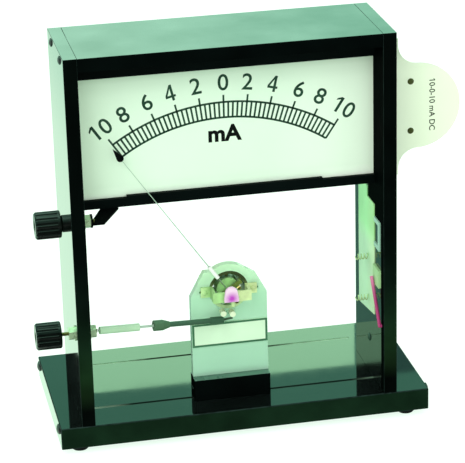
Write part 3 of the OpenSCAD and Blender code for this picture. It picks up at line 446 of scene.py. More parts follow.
def slotted_screws(
    name, node, body, slot, finish, spots, head_radius, head_height, shank_radius, shank_length,
):
    """Pan-head screws with sawn slots; a spot is the middle under a head and the way it points."""
    dome = 1.6 * head_radius
    slot_half, slot_floor = 0.15 * head_radius, 0.62 * head_height
    first_turn, next_turn = 0.5, 0.7
    outline = [
        (0, -shank_length), (shank_radius, -shank_length), (shank_radius, 0), (head_radius, 0),
    ]
    for reach in (1.0, 0.85, 0.65, 0.4, 0.0):
        radius = reach * head_radius
        outline.append((radius, head_height - dome + math.sqrt(dome ** 2 - radius ** 2)))
    screws = bmesh.new()
    for number, (spot, way) in enumerate(spots):
        screw = turned(outline)
        saw_slot(screw, slot_half, slot_floor)
        bmesh.ops.transform(
            screw, verts=screw.verts,
            matrix=Matrix.Translation(spot)
            @ Vector(way).to_track_quat("Z", "Y").to_matrix().to_4x4()
            @ Matrix.Rotation(next_turn * number + first_turn, 4, "Z"),
        )
        shape = bpy.data.meshes.new("screw_shape")
        screw.to_mesh(shape)
        screw.free()
        screws.from_mesh(shape)
        bpy.data.meshes.remove(shape)
    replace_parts(add_piece(screws, name, body, slot, finish), node)


def dress(*finishes):
    """Gives pieces that keep their solid's own shape a finish each."""
    for name, finish in finishes:
        nodes[name].data.materials.clear()
        nodes[name].data.materials.append(finish)


foot_rubber = paint(
    "foot_rubber", (0.003, 0.004, 0.004), 0.7, grain=2500.0, bump=0.3, sheen=0.1,
)
bright_steel = paint(
    "bright_steel", (0.62, 0.62, 0.58), 0.3, vary=0.06, grain=1500.0, bump=0.05, metal=1.0,
)
black_steel = paint("black_steel", (0.012, 0.02, 0.017), 0.35, grain=1200.0, bump=0.1)
dress(("rubber_feet", foot_rubber))
for name, node, head_radius, head_height, shank_radius in (
    ("foot_screw_set", "foot_screws", 0.003, 0.0012, 0.0015),
    ("base_screw_set", "base_screws", 0.0036, 0.0026, 0.0018),
):
    low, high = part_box(node)
    columns = (low.x + head_radius, high.x - head_radius)
    rows = (low.y + head_radius, high.y - head_radius)
    slotted_screws(
        name, node, "frame", "screw_steel", bright_steel,
        [((x, y, low.z + head_height), (0, 0, -1)) for x in columns for y in rows],
        head_radius, head_height, shank_radius, high.z - low.z - head_height,
    )
end_low, end_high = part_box("end_screws")
end_head, end_shank, end_length = 0.004, 0.0016, 0.009
end_level = (end_low.z + end_high.z) / 2
slotted_screws(
    "end_screw_set", "end_screws", "frame", "screw_black", black_steel,
    [
        ((x, y, end_level), (way, 0, 0))
        for x, way in ((base_low.x, -1), (base_high.x, 1))
        for y in (end_low.y + end_head, end_high.y - end_head)
    ],
    end_head, base_low.x - end_low.x, end_shank, end_length,
)

# Walls and top: black acrylic sheet, polished outside, matt on the sawn edges and inside, with
# lighter, mottled green top faces. The sawn front edges carry a painted reflection, a light band
# partway up. The top sits between the walls on screws that go through them, and the right wall is
# slotted for the card.
wall_edge = paint(
    "wall_edge", (0.0055, 0.019, 0.0065), 0.5, vary=0.3, grain=1800.0, bump=0.15, sheen=0.01,
)
# Painted reflection on the walls' sawn front edges: a light band partway up, dark above and below.
wall_front_painted_reflection = (
    (0.034, (0.14, 0.10, 0.22)),
    (0.046, (0.7, 0.6, 0.6)),
    (0.061, (1, 1, 1)),
    (0.084, (0.7, 0.7, 0.9)),
    (0.116, (0.4, 0.35, 0.6)),
    (0.150, (0.16, 0.12, 0.28)),
)
fade(wall_edge, "Z", *wall_front_painted_reflection)
# The top faces are a lighter, mottled dark green.
top_mottle = paint(
    "top_mottle", (0.040, 0.062, 0.050), 0.06, vary=0.95, patch=24.0, rough_spread=0.03, bump=0.01,
    glint=sheet_glint,
)
wall_finishes = (polished_black, sawn_black, wall_edge, edge_wear_and_highlight, top_mottle)
wall_break = 0.0002
left = sheet_block(wall_low, wall_high, wall_break)
for face in left.faces:
    if on_broken_edge(face):
        face.material_index = 3
    elif face.normal.z > 0.5:
        face.material_index = 4
    elif face.normal.y < -0.5:
        face.material_index = 2
    else:
        face.material_index = 0 if face.normal.x < -0.5 else 1
left_piece = add_piece(
    left, "wall_left", "frame", "black_sheet", *wall_finishes, crease=sheet_crease,
)
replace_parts(left_piece, "left_wall")

card_low, card_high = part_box("scale_card")
slot_gap = 0.0003
slot_sides = {
    "y": (card_low.y - slot_gap, card_high.y + slot_gap),
    "z": (card_low.z - slot_gap, card_high.z + slot_gap),
}
far = sheet_block(far_low, far_high, wall_break)
for axis, normal in (("y", (0, 1, 0)), ("z", (0, 0, 1))):
    for value in slot_sides[axis]:
        score(far, [value * n for n in normal], normal)
rail_low, rail_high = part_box("lower_rail")
board_low, board_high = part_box("contact_board")
clip_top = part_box("wall_clip")[1].z
matt_front = far_low.y + 0.008
board_shade = board_low.y + 0.019
for spot, normal in (
    ((0, matt_front, 0), (0, 1, 0)), ((0, board_shade, 0), (0, 1, 0)),
    ((0, 0, rail_low.z), (0, 0, 1)), ((0, 0, clip_top), (0, 0, 1)),
):
    score(far, spot, normal)
far.normal_update()
mouths = [
    face for face in far.faces
    if abs(face.normal.x) > 0.9
    and slot_sides["y"][0] < face.calc_center_median().y < slot_sides["y"][1]
    and slot_sides["z"][0] < face.calc_center_median().z < slot_sides["z"][1]
]
rims = list(dict.fromkeys(e for face in mouths for e in face.edges))
bmesh.ops.delete(far, geom=mouths, context="FACES_ONLY")
bmesh.ops.bridge_loops(far, edges=rims)
bmesh.ops.recalc_face_normals(far, faces=far.faces[:])
for face in far.faces:
    spot = face.calc_center_median()
    clear_inside = spot.y > matt_front and spot.z < rail_low.z
    clear_inside = clear_inside and (spot.z < clip_top or spot.y > board_shade)
    if on_broken_edge(face):
        face.material_index = 3
    elif face.normal.z > 0.5 and spot.z > slot_sides["z"][1]:
        face.material_index = 4
    elif face.normal.y < -0.5:
        face.material_index = 2
    else:
        polished = face.normal.x > 0.5 or (face.normal.x < -0.5 and clear_inside)
        face.material_index = 0 if polished else 1
far_piece = add_piece(
    far, "wall_right", "frame", "black_sheet", *wall_finishes, crease=sheet_crease,
)
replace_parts(far_piece, "right_wall")

top_low, top_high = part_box("top_panel")
top_play = Vector((0.00005, 0, 0))
top = sheet_block(top_low + top_play, top_high - top_play, wall_break)
for face in top.faces:
    face.material_index = 0 if face.normal.z > 0.5 else 1
top_piece = add_piece(
    top, "top_sheet", "frame", "black_sheet", top_mottle, sawn_black, crease=sheet_crease,
)
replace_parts(top_piece, "top_panel")
top_screw_low, top_screw_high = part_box("wall_screws")
top_head, top_shank, top_length = 0.0032, 0.0016, 0.024
top_level = (top_screw_low.z + top_screw_high.z) / 2
slotted_screws(
    "top_screw_set", "wall_screws", "frame", "screw_black", black_steel,
    [
        ((x, y, top_level), (way, 0, 0))
        for x, way in ((wall_low.x, -1), (far_high.x, 1))
        for y in (top_screw_low.y + top_head, top_screw_high.y - top_head)
    ],
    top_head, wall_low.x - top_screw_low.x, top_shank, top_length,
)
plug_low, plug_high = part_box("wall_plug")
plug_shank = 0.0015
plug_green = paint("plug_green", (0.02, 0.07, 0.04), 0.5, vary=0.2, grain=1500.0, bump=0.1)
slotted_screws(
    "plug_screw", "wall_plug", "frame", "screw_black", plug_green,
    [((far_low.x, (plug_low.y + plug_high.y) / 2, (plug_low.z + plug_high.z) / 2), (-1, 0, 0))],
    (plug_high.y - plug_low.y) / 2, far_low.x - plug_low.x, plug_shank, plug_high.x - far_low.x,
)

# Guides: two channels of satin black plastic, drawn in one length, that carry the card at its
# upper and lower edge. They are fixed between the walls, and the lower one has a raised lip.
guide_black = paint(
    "guide_black", (0.0015, 0.004, 0.0035), 0.5, vary=0.25, grain=1400.0, bump=0.08, sheen=0.02,
)
dress(("upper_guide", guide_black), ("lower_rail", guide_black))

# Card: a printed sheet of white plastic with a round tab, and two brass rivets that hold the
# shunt strip behind the tab. The scale, its numbers and the unit are printed in dark ink.
card_white = paint(
    "card_white", (0.77, 0.92, 0.75), 0.35, vary=0.02, patch=14.0, grain=1500.0, bump=0.02,
)
# Painted light across the card: lifted at its left edge and where the right wall shades it, a
# little darker between. The tab beyond the wall is tinted cream.
card_light_and_tab_tints = (
    (card_low.x, (0.94, 1.05, 0.95)),
    (card_low.x + 0.03, (0.88, 0.95, 0.90)),
    (0.02, (0.88, 0.94, 0.90)),
    (0.075, (1.0, 1.02, 1.0)),
    (0.090, (1.10, 1.11, 1.09)),
    (0.100, (1.02, 1.0, 0.98)),
    (0.112, (1.12, 1.08, 1.02)),
    (0.130, (1.03, 1.0, 0.92)),
    (card_high.x, (1.04, 0.99, 0.90)),
)
guide_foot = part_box("upper_guide")[0].z
# Painted light and shade up the card: brighter just above the lower rail, painted shade under the
# upper guide.
card_painted_light_up = (
    (rail_high.z - 0.001, (1.24, 1.20, 1.24)),
    (rail_high.z + 0.002, (1.10, 1.08, 1.10)),
    (rail_high.z + 0.007, (1, 1, 1)),
    (guide_foot - 0.016, (1, 1, 1)),
    (guide_foot - 0.006, (0.93, 0.94, 0.93)),
    (guide_foot, (0.74, 0.78, 0.75)),
)
fade(card_white, "X", *card_light_and_tab_tints)
fade(card_white, "Z", *card_painted_light_up)
polished_brass = paint(
    "polished_brass", (0.55, 0.42, 0.14), 0.28, vary=0.15, grain=1300.0, bump=0.06, metal=1.0,
)
# The card's rivets: brass painted dark, as painted shade.
shaded_brass = paint(
    "shaded_brass", (0.055, 0.075, 0.003), 0.4, vary=0.3, patch=300.0, grain=1300.0, bump=0.06,
)
dress(("scale_card", card_white), ("card_rivets", shaded_brass), ("shunt_strip", polished_brass))

hub_low, hub_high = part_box("yoke_ring")
scale_centre = Vector((
    (hub_low.x + hub_high.x) / 2, card_low.y, (hub_low.z + hub_high.z) / 2,
))
ink_thickness = 0.00005
ring_inner, ring_outer, tick_outer, number_radius = 0.1355, 0.1471, 0.1525, 0.1620
half_sweep, divisions, ring_steps = math.radians(33.9), 50, 120
line_width, tick_width = 0.0015, 0.0014
number_height, number_bold = 0.0123, 0.010


def place_on_card(angle, radius):
    """Moves print drawn upright at the origin to its place on the scale."""
    turned_out = Matrix.Rotation(angle, 4, "Y") @ Matrix.Translation((0, 0, radius))
    return Matrix.Translation(scale_centre) @ turned_out


def bar_of_ink(mesh, width, low, high, angle):
    """One straight printed line along the radius."""
    made = bmesh.ops.create_cube(mesh, size=1.0)
    bmesh.ops.scale(mesh, vec=(width, ink_thickness, high - low), verts=made["verts"])
    bmesh.ops.transform(
        mesh, verts=made["verts"],
        matrix=place_on_card(angle, (low + high) / 2)
        @ Matrix.Translation((0, -ink_thickness / 2, 0)),
    )


def lettered(word, bold):
    """A word in plain type as a flat mesh."""
    curve = bpy.data.curves.new("word", "FONT")
    curve.body, curve.size, curve.offset = word, 1.0, bold
    curve.resolution_u = 6
    drawn = bpy.data.objects.new("word", curve)
    scene.collection.objects.link(drawn)
    bpy.context.view_layer.update()
    settled = bpy.context.evaluated_depsgraph_get()
    flat = bpy.data.meshes.new_from_object(drawn.evaluated_get(settled))
    bpy.data.objects.remove(drawn)
    bpy.data.curves.remove(curve)
    return flat


def open_four():
    """A bold four as a flat mesh, with its opening left clear."""
    four = bmesh.new()
    for outline in (
        (
            (0.35, 0), (0.50, 0), (0.50, 0.21), (0.61, 0.21), (0.61, 0.35), (0.50, 0.35),
            (0.50, 1.0), (0.36, 1.0), (0, 0.36), (0, 0.21), (0.35, 0.21),
        ),
        ((0.35, 0.35), (0.35, 0.77), (0.125, 0.35)),
    ):
        bends = [four.verts.new((x, y, 0)) for x, y in outline]
        for pair in zip(bends, bends[1:] + bends[:1]):
            four.edges.new(pair)
    bmesh.ops.triangle_fill(four, use_beauty=True, use_dissolve=False, edges=four.edges[:])
    flat = bpy.data.meshes.new("four")
    four.to_mesh(flat)
    four.free()
    return flat


def printed_word(mesh, word, height, bold, spot):
    """Lettering as a thin mesh, upright and facing the front, centred on its spot."""
    flat = open_four() if word == "4" else lettered(word, bold)
    xs, ys = [v.co.x for v in flat.vertices], [v.co.y for v in flat.vertices]
    if word.startswith("1"):
        overlap, beak_reach, beak_top, beak_foot, beak_root = 0.01, 0.24, 0.21, 0.33, 0.16
        stem, high, tall = min(xs) + overlap, max(ys), max(ys) - min(ys)
        beak = stem - beak_reach * tall
        beaked = bmesh.new()
        beaked.from_mesh(flat)
        beaked.faces.new([
            beaked.verts.new((x, y, 0))
            for x, y in (
                (stem, high), (beak, high - beak_top * tall), (beak, high - beak_foot * tall),
                (stem, high - beak_root * tall),
            )
        ])
        beaked.to_mesh(flat)
        beaked.free()
        xs.append(beak)
    flat.transform(
        spot
        @ Matrix.Translation((0, -ink_thickness, 0))
        @ Matrix.Rotation(math.pi / 2, 4, "X")
        @ Matrix.Scale(height / (max(ys) - min(ys)), 4)
        @ Matrix.Translation((-(min(xs) + max(xs)) / 2, -(min(ys) + max(ys)) / 2, 0))
    )
    mesh.from_mesh(flat)
    bpy.data.meshes.remove(flat)


def thicken(mesh):
    """Gives flat print the thickness of the ink, back to the sheet it lies on."""
    draw_out(mesh, mesh.faces[:], (0, ink_thickness, 0))


scale_print = bmesh.new()
for radius in (ring_inner, ring_outer):
    start = place_on_card(-half_sweep, radius)
    across = [
        scale_print.verts.new(start @ Vector((0, -ink_thickness, dz)))
        for dz in (-line_width / 2, line_width / 2)
    ]
    line = scale_print.edges.new(across)
    bmesh.ops.spin(
        scale_print, geom=[line, *across], cent=scale_centre, axis=(0, 1, 0),
        angle=2 * half_sweep, steps=ring_steps,
    )
scale_numbers = (
    (10, 0), (8, 0), (6, 0), (4, -0.4), (2, -0.4), (0, 0),
    (2, -0.4), (4, -0.4), (6, 0), (8, -0.8), (10, -0.3),
)
number_gaps = len(scale_numbers) - 1
for step, (number, aside) in enumerate(scale_numbers):
    angle = -half_sweep + 2 * half_sweep * step / number_gaps + math.radians(aside)
    printed_word(
        scale_print, str(number), number_height, number_bold, place_on_card(angle, number_radius),
    )
thicken(scale_print)
for step in range(divisions + 1):
    angle = -half_sweep + 2 * half_sweep * step / divisions
    tick_end = tick_outer if step % (divisions // number_gaps) == 0 else ring_outer
    bar_of_ink(scale_print, tick_width, ring_inner, tick_end, angle)
scale_ink = paint(
    "scale_ink", (0.020, 0.058, 0.034), 0.6, vary=0.2, patch=120.0, sheen=0.05,
)
add_piece(scale_print, "scale_print", "card", "card_white", scale_ink)

unit_print = bmesh.new()
unit_height, unit_bold, unit_shift = 0.0128, 0.035, Vector((0.0005, 0, 0.1236))
printed_word(
    unit_print, "mA", unit_height, unit_bold, Matrix.Translation(scale_centre + unit_shift),
)
rivets_low, rivets_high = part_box("card_rivets")
rating_height, rating_bold, rating_gap = 0.0044, 0.01, 0.0140
rating_spot = (rivets_high.x + rating_gap, card_low.y, (rivets_low.z + rivets_high.z) / 2)
printed_word(
    unit_print, "10-0-10 mA DC", rating_height, rating_bold,
    Matrix.Translation(rating_spot) @ Matrix.Rotation(math.pi / 2, 4, "Y"),
)
thicken(unit_print)
unit_ink = paint("unit_ink", (0.004, 0.006, 0.005), 0.6, vary=0.2, patch=120.0, sheen=0.05)
add_piece(unit_print, "unit_print", "card", "card_white", unit_ink)


# Movement stand: a black foot block with a slot, screwed down from below, and a pale acrylic plate
# with a rounded head that stands in it. A label plate with a dark printed border is glued to the
# plate's front.
def keep_side(mesh, spot, normal):
    """Cuts a closed solid at a plane, keeps the side the normal points to and closes the cut."""
    bmesh.ops.bisect_plane(
        mesh, geom=mesh.verts[:] + mesh.edges[:] + mesh.faces[:], plane_co=spot, plane_no=normal,
        clear_inner=True,
    )
    bmesh.ops.holes_fill(mesh, edges=[e for e in mesh.edges if e.is_boundary], sides=0)


block_low, block_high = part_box("foot_block")
plate_low, plate_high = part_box("movement_plate")
slot_play, block_shift, block_break = 0.00005, 0.0003, 0.0003
slot_front, slot_back, slot_floor = plate_low.y - slot_play, plate_high.y + slot_play, plate_low.z
block_left, block_right = plate_low.x - block_shift, plate_high.x - block_shift
block = bmesh.new()
block_end = block.faces.new([
    block.verts.new((block_left, y, z))
    for y, z in (
        (block_low.y, block_low.z), (block_high.y, block_low.z), (block_high.y, block_high.z),
        (slot_back, block_high.z), (slot_back, slot_floor), (slot_front, slot_floor),
        (slot_front, block_high.z), (block_low.y, block_high.z),
    )
])
draw_out(block, [block_end], (block_right - block_left, 0, 0))
bmesh.ops.bevel(
    block, geom=block.edges[:], offset=block_break, offset_type="OFFSET", segments=2, profile=0.5,
    affect="EDGES", material=-1,
)
for face in block.faces:
    face.material_index = 1 if face.normal.z > 0.5 else 0
# The block's top faces are painted a lighter grey-green, a painted reflection of the plate above.
block_top_reflection = paint(
    "block_top_reflection", (0.07, 0.17, 0.12), 0.3, vary=0.25, patch=90.0, grain=1400.0, bump=0.05,
)
block_piece = add_piece(
    block, "block_stand", "frame", "black_sheet", sawn_black, block_top_reflection, crease=sheet_crease,
)
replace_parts(block_piece, "foot_block")
stand_screw_low, stand_screw_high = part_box("block_screws")
stand_head, stand_head_height, stand_shank = 0.0036, 0.0026, 0.0018
stand_row, stand_level = (
    (stand_screw_low.y + stand_screw_high.y) / 2, stand_screw_low.z + stand_head_height,
)
slotted_screws(
    "stand_screw_set", "block_screws", "frame", "screw_steel", bright_steel,
    [
        ((x, stand_row, stand_level), (0, 0, -1))
        for x in (stand_screw_low.x + stand_head, stand_screw_high.x - stand_head)
    ],
    stand_head, stand_head_height, stand_shank,
    stand_screw_high.z - stand_screw_low.z - stand_head_height,
)

pale_acrylic = paint("pale_acrylic", (0.72, 1.0, 0.76), 0.18, vary=0.04, patch=20.0, bump=0.02)
acrylic_shader = pale_acrylic.node_tree.nodes["Principled BSDF"]
acrylic_shader.inputs["Transmission Weight"].default_value = 0.25
acrylic_shader.inputs["IOR"].default_value = 1.2
# Painted light: the plate is painted paler over the top of its rounded head than lower down.
fade(
    pale_acrylic, "Z",
    (plate_low.z, (0.65, 0.80, 0.77)),
    (plate_high.z - 0.026, (0.67, 0.82, 0.74)),
    (plate_high.z - 0.002, (0.93, 1, 0.86)),
)
upright = bmesh.new()
upright.from_mesh(nodes["movement_plate"].data)
bmesh.ops.remove_doubles(upright, verts=upright.verts[:], dist=1e-7)
low_shoulder = Vector((0.0063, 0, 0.1177))
plate_dome = plate_high.z - scale_centre.z
shoulder_reach = Vector((
    low_shoulder.x - scale_centre.x, 0, low_shoulder.z - scale_centre.z,
))
tangent = math.atan2(shoulder_reach.z, shoulder_reach.x)
tangent += math.acos(plate_dome / shoulder_reach.length)
keep_side(upright, low_shoulder, (-math.cos(tangent), 0, -math.sin(tangent)))
score(upright, (0, 0, block_high.z), (0, 0, 1))
bmesh.ops.recalc_face_normals(upright, faces=upright.faces[:])
for face in upright.faces:
    face.material_index = 1 if face.calc_center_median().z < block_high.z else 0
upright_piece = add_piece(
    upright, "movement_upright", "frame", "clear_plate", pale_acrylic, sawn_black,
    crease=sheet_crease,
)
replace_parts(upright_piece, "movement_plate")

label_white = paint("label_white", (0.62, 0.86, 0.60), 0.4, vary=0.04, patch=60.0)
dress(("label_plate", label_white))
label_low, label_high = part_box("label_plate")
border_width = 0.0016
border = bmesh.new()
inner = border.faces.new([
    border.verts.new((x, label_low.y - ink_thickness, z))
    for x, z in (
        (label_low.x, label_low.z), (label_high.x, label_low.z),
        (label_high.x, label_high.z), (label_low.x, label_high.z),
    )
])
border.normal_update()
bmesh.ops.inset_region(
    border, faces=[inner], thickness=border_width, use_even_offset=True, use_boundary=True,
)
bmesh.ops.delete(border, geom=[inner], context="FACES")
thicken(border)
border_ink = paint("border_ink", (0.05, 0.16, 0.08), 0.5, vary=0.2, patch=120.0, sheen=0.05)
add_piece(border, "label_border", "frame", "label_white", border_ink)

# Movement: a soft-iron yoke ring round a magnet core, a wound coil on two pivots between brass
# bridges that are screwed to the yoke, flat hairsprings, and the zero adjuster in front, a brass
# lever with a moulded magenta cap pressed on it.
yoke_olive = paint(
    "yoke_olive", (0.50, 0.76, 0.36), 0.45, vary=0.25, patch=120.0, grain=900.0, bump=0.1,
)
# Painted shade: the ring darkens from its bottom to near black over its top.
fade(
    yoke_olive, "Z",
    (hub_low.z, (1, 1, 1)),
    (scale_centre.z, (0.4, 0.4, 0.3)),
    (scale_centre.z + 0.007, (0.07, 0.08, 0.025)),
)
core_steel = paint(
    "core_steel", (0.30, 0.62, 0.21), 0.4, vary=0.3, patch=160.0, grain=900.0, bump=0.1,
)
pale_metal = paint("pale_metal", (0.62, 0.66, 0.52), 0.3, vary=0.08, bump=0.05, metal=1.0)
coil_copper = paint("coil_copper", (0.15, 0.23, 0.04), 0.35, vary=0.25, grain=2500.0, bump=0.4)
pale_brass = paint(
    "pale_brass", (0.58, 0.74, 0.35), 0.45, vary=0.2, patch=110.0, grain=1300.0, bump=0.06,
)
# Painted shade and light on the pale brass along X: a darker, greener band over the bridge's left
# part, a little brighter towards the right.
bridge_light_and_shade = (
    (-0.036, (0.85, 1.0, 0.95)),
    (-0.030, (0.58, 0.84, 0.64)),
    (-0.020, (0.56, 0.84, 0.62)),
    (-0.012, (1.0, 1.02, 1.0)),
    (0.0065, (1.08, 1.06, 1.05)),
)
fade(pale_brass, "X", *bridge_light_and_shade)
cream_tag = paint("cream_tag", (0.72, 0.86, 0.58), 0.4, vary=0.1)
dress(
    ("yoke_ring", yoke_olive), ("core_magnet", core_steel), ("core_pins", polished_brass),
    ("front_bridge", pale_brass), ("rear_bridge", polished_brass),
    ("front_jewel_screw", polished_brass), ("rear_jewel_screw", polished_brass),
    ("zero_lever", pale_brass), ("tag_posts", cream_tag),
    ("coil_former", pale_metal), ("coil_winding", coil_copper),
    ("front_staff", bright_steel), ("rear_staff", bright_steel),
    ("front_hairspring", polished_brass), ("rear_hairspring", polished_brass),
    ("pointer_hub", pale_metal), ("balance_weights", polished_brass),
)

cap_low, cap_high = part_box("zero_cap")
cap_middle = Vector(((cap_low.x + cap_high.x) / 2, cap_low.y, (cap_low.z + cap_high.z) / 2))
cap_glow, cap_glow_reach = Vector((-0.0012, 0, 0.0004)), 0.0072
magenta_cap = paint("magenta_cap", (0.60, 0.10, 0.58), 0.25, vary=0.1, patch=200.0)
cap_tree = magenta_cap.node_tree
cap_place = cap_tree.nodes.new("ShaderNodeTexCoord")
cap_reach = cap_tree.nodes.new("ShaderNodeVectorMath")
cap_reach.operation = "DISTANCE"
cap_reach.inputs[1].default_value = cap_middle + cap_glow
# Painted highlight: the cap fades from a deep magenta heart to a pale rim.
cap_fade = cap_tree.nodes.new("ShaderNodeValToRGB")
cap_heart, cap_rim = cap_fade.color_ramp.elements[0], cap_fade.color_ramp.elements[1]
cap_heart.position, cap_rim.position = 0.15, 0.82
cap_heart.color = (0.48, 0.05, 0.50, 1)
cap_rim.color = (0.80, 0.60, 0.74, 1)
cap_span = cap_tree.nodes.new("ShaderNodeMapRange")
cap_span.inputs["From Max"].default_value = cap_glow_reach
cap_tree.links.new(cap_place.outputs["Object"], cap_reach.inputs[0])
cap_tree.links.new(cap_reach.outputs["Value"], cap_span.inputs["Value"])
cap_tree.links.new(cap_span.outputs["Result"], cap_fade.inputs["Fac"])
cap_tree.links.new(
    cap_fade.outputs["Color"], cap_tree.nodes["Principled BSDF"].inputs["Base Color"],
)
cap_half, cap_foot = 0.0057, -0.0028
cap_flank, cap_belly = 0.97 * cap_half, 0.0008
cap_neck, cap_waist, cap_crown = 0.84 * cap_half, 0.0045, 0.0048
cap_shift, cap_break, cap_corner, cap_steps = 0.0013, 0.0008, 0.9, 12
cap_side = [(cap_half, cap_foot), (cap_flank, cap_belly), (cap_neck, cap_waist)]
cap_top = [
    (
        cap_neck * math.cos(math.pi * step / cap_steps),
        cap_waist + cap_crown * math.sin(math.pi * step / cap_steps),
    )
    for step in range(1, cap_steps)
]
cap_outline = cap_side + cap_top + [(-x, z) for x, z in reversed(cap_side)]
cap = bmesh.new()
cap_face = cap.faces.new([
    cap.verts.new((cap_middle.x - cap_shift + x, cap_low.y, cap_middle.z + z))
    for x, z in cap_outline
])
draw_out(cap, [cap_face], (0, cap_high.y - cap_low.y, 0))
bmesh.ops.bevel(
    cap, geom=[e for e in cap.edges if e.calc_face_angle(0) > cap_corner], offset=cap_break,
    offset_type="OFFSET", segments=3, profile=0.5, affect="EDGES", material=-1,
)
cap_piece = add_piece(cap, "zero_knob", "zero_adjuster", "zero_magenta", magenta_cap)
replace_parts(cap_piece, "zero_cap")

bridge_screw_low, bridge_screw_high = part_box("bridge_screws")
bridge_head, bridge_head_height, bridge_shank, bridge_grip = 0.0019, 0.0012, 0.001, 0.0045
front_reach, rear_reach = 0.0185, 0.0214
slotted_screws(
    "bridge_screw_set", "bridge_screws", "frame", "brass", pale_brass,
    [
        ((scale_centre.x + side * reach, y, scale_centre.z), (0, way, 0))
        for reach, y, way in (
            (front_reach, bridge_screw_low.y + bridge_head_height, -1),
            (rear_reach, bridge_screw_high.y - bridge_head_height, 1),
        )
        for side in (-1, 1)
    ],
    bridge_head, bridge_head_height, bridge_shank, bridge_grip,
)

# Pointer: a white plastic sleeve at the root, pressed on the hub's arm, a thin drawn tube that
# tapers towards its end, and a black drop-shaped tip of lacquered foil glued over the end.
pointer_white = paint("pointer_white", (0.85, 0.92, 0.84), 0.4, vary=0.05)
rod_pale = paint("rod_pale", (0.36, 0.54, 0.39), 0.4, vary=0.05)
pointer_black = paint("pointer_black", (0.002, 0.003, 0.003), 0.5, vary=0.2, sheen=0.05)
dress(("pointer_root", pointer_white), ("pointer_tip", pointer_black))
rod_low, rod_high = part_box("pointer_rod")
rod_thick = rod_high.y - rod_low.y
rod_depth = (rod_low.y + rod_high.y) / 2
rod_foot = Vector((rod_high.x - rod_thick / 2, rod_depth, rod_low.z + rod_thick / 3))
rod_head = Vector((rod_low.x + rod_thick / 2, rod_depth, rod_high.z - rod_thick / 3))
rod_way = rod_head - rod_foot
rod = bmesh.new()
bmesh.ops.create_cone(
    rod, cap_ends=True, segments=16, radius1=rod_thick / 2, radius2=rod_thick / 4,
    depth=rod_way.length,
    matrix=Matrix.Translation((rod_foot + rod_head) / 2)
    @ rod_way.to_track_quat("Z", "Y").to_matrix().to_4x4(),
)
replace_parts(add_piece(rod, "pointer_tube", "pointer", "pointer_white", rod_pale), "pointer_rod")

# Terminals: threaded brass studs through the left wall, moulded black caps with brass inserts,
# bright nuts on both sides, and a lacquered strap from the upper stud to the rail.
moulded_black = paint(
    "moulded_black", (0.0015, 0.003, 0.002), 0.28, vary=0.2, grain=1500.0, bump=0.05, sheen=0.28,
)
nut_nickel = paint(
    "nut_nickel", (0.50, 0.68, 0.42), 0.3, vary=0.15, patch=200.0, grain=1500.0, bump=0.08,
    metal=0.5,
)
stud_brass = paint("stud_brass", (0.40, 0.37, 0.17), 0.3, vary=0.2, patch=150.0, metal=1.0)
strap_black = paint("strap_black", (0.001, 0.002, 0.002), 0.5, vary=0.2, bump=0.1, sheen=0.02)
dress(
    ("upper_cap", moulded_black), ("lower_cap", moulded_black), ("upper_collar", moulded_black),
    ("upper_insert", polished_brass), ("lower_insert", polished_brass),
    ("upper_nuts", nut_nickel), ("lower_nuts", nut_nickel), ("terminal_strap", strap_black),
)
thread_pitch, thread_depth, thread_steps = 0.0005, 0.0003, 20
for stud_name, stud_node in (
    ("upper_stud_thread", "upper_stud"), ("lower_stud_thread", "lower_stud"),
):
    stud_low, stud_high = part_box(stud_node)
    stud_axis = (stud_low + stud_high) / 2
    crest = (stud_high.z - stud_low.z) / 2
    root = crest - thread_depth
    turns = int((stud_high.x - stud_low.x) / thread_pitch) - 1
    stud = bmesh.new()
    tooth = [
        stud.verts.new((stud_low.x + along * thread_pitch, stud_axis.y, stud_axis.z + radius))
        for along, radius in ((0, root), (0.45, crest), (0.55, crest), (1, root))
    ]
    flanks = [stud.edges.new(pair) for pair in zip(tooth, tooth[1:])]
    bmesh.ops.spin(
        stud, geom=tooth + flanks, cent=stud_axis, axis=(1, 0, 0),
        dvec=(thread_pitch / thread_steps, 0, 0), angle=2 * math.pi * turns,
        steps=thread_steps * turns,
    )
    bmesh.ops.remove_doubles(stud, verts=stud.verts[:], dist=1e-6)
    bmesh.ops.holes_fill(stud, edges=[e for e in stud.edges if e.is_boundary], sides=0)
    bmesh.ops.recalc_face_normals(stud, faces=stud.faces[:])
    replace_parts(add_piece(stud, stud_name, "frame", "pale_metal", stud_brass), stud_node)

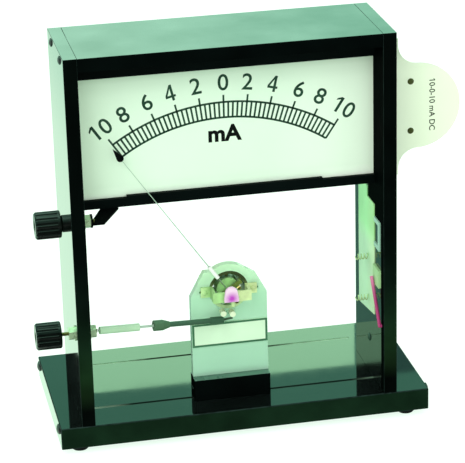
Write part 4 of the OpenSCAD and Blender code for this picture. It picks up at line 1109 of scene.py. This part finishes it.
# Lead: a tinned copper conductor with a hooked end, crimped in a pale ferrule at the lower stud.
# A green plastic sleeve runs over it, and a dark rubber boot is pushed over the sleeve's end.
lead_green = paint("lead_green", (0.03, 0.10, 0.05), 0.5, vary=0.15, grain=1800.0, bump=0.15)
ferrule_grey = paint("ferrule_grey", (0.38, 0.60, 0.38), 0.4, vary=0.1, bump=0.1)
boot_green = paint("boot_green", (0.05, 0.14, 0.06), 0.55, vary=0.15, grain=1800.0, bump=0.15)
core_tinned = paint("core_tinned", (0.34, 0.48, 0.37), 0.4, vary=0.15, grain=1500.0, bump=0.1)
boot_low, boot_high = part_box("lead_boot")
# Painted shade: the conductor darkens across the boot's span.
fade(core_tinned, "X", (boot_low.x, (1, 1, 1)), (boot_high.x, (0.12, 0.2, 0.12)))
dress(
    ("lead_core", core_tinned), ("lead_ferrule", ferrule_grey), ("lead_boot", boot_green),
    ("lead_sleeve", lead_green),
)

# Inside the right wall: a pale board glued to the wall with two curly wire leads soldered to it,
# a pale moulded clip and junction block beside it, and a red insulated wire that runs down from
# the block.
board_pale = paint("board_pale", (0.45, 0.98, 0.42), 0.4, vary=0.08, patch=40.0)
board_front = board_low.y + 0.022
board_tall = board_high.z - board_low.z
# The board is tinted yellower towards its front edge, and its lower half is painted whiter as a
# painted highlight.
fade(board_pale, "Y", (board_low.y, (1.0, 0.93, 0.86)), (board_front, (0.93, 1.0, 1.0)))
fade(
    board_pale, "Z",
    (board_low.z, (1.35, 0.98, 1.40)),
    (board_low.z + 0.55 * board_tall, (1.35, 0.98, 1.40)),
    (board_low.z + 0.70 * board_tall, (1, 1, 1)),
    (board_high.z, (1, 1, 1)),
)
clip_pale = paint("clip_pale", (0.36, 0.66, 0.48), 0.4, vary=0.08, patch=80.0)
curl_olive = paint("curl_olive", (0.46, 0.60, 0.30), 0.35, vary=0.2, patch=300.0, metal=0.4)
block_cream = paint("block_cream", (0.40, 0.72, 0.32), 0.4, vary=0.08, patch=80.0)
wire_red = paint("wire_red", (0.66, 0.20, 0.36), 0.4, vary=0.1)
wire_low, wire_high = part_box("red_wire")
# Painted shade: the wire is darker and deeper towards the bottom, paler at its top.
fade(
    wire_red, "Z",
    (wire_low.z, (0.62, 0.15, 0.42)),
    (wire_low.z + 0.02, (0.66, 0.2, 0.5)),
    (wire_high.z, (1, 1, 1)),
)
dress(
    ("contact_board", board_pale), ("spring_leads", curl_olive), ("wall_clip", clip_pale),
    ("junction_block", block_cream), ("red_wire", wire_red),
)
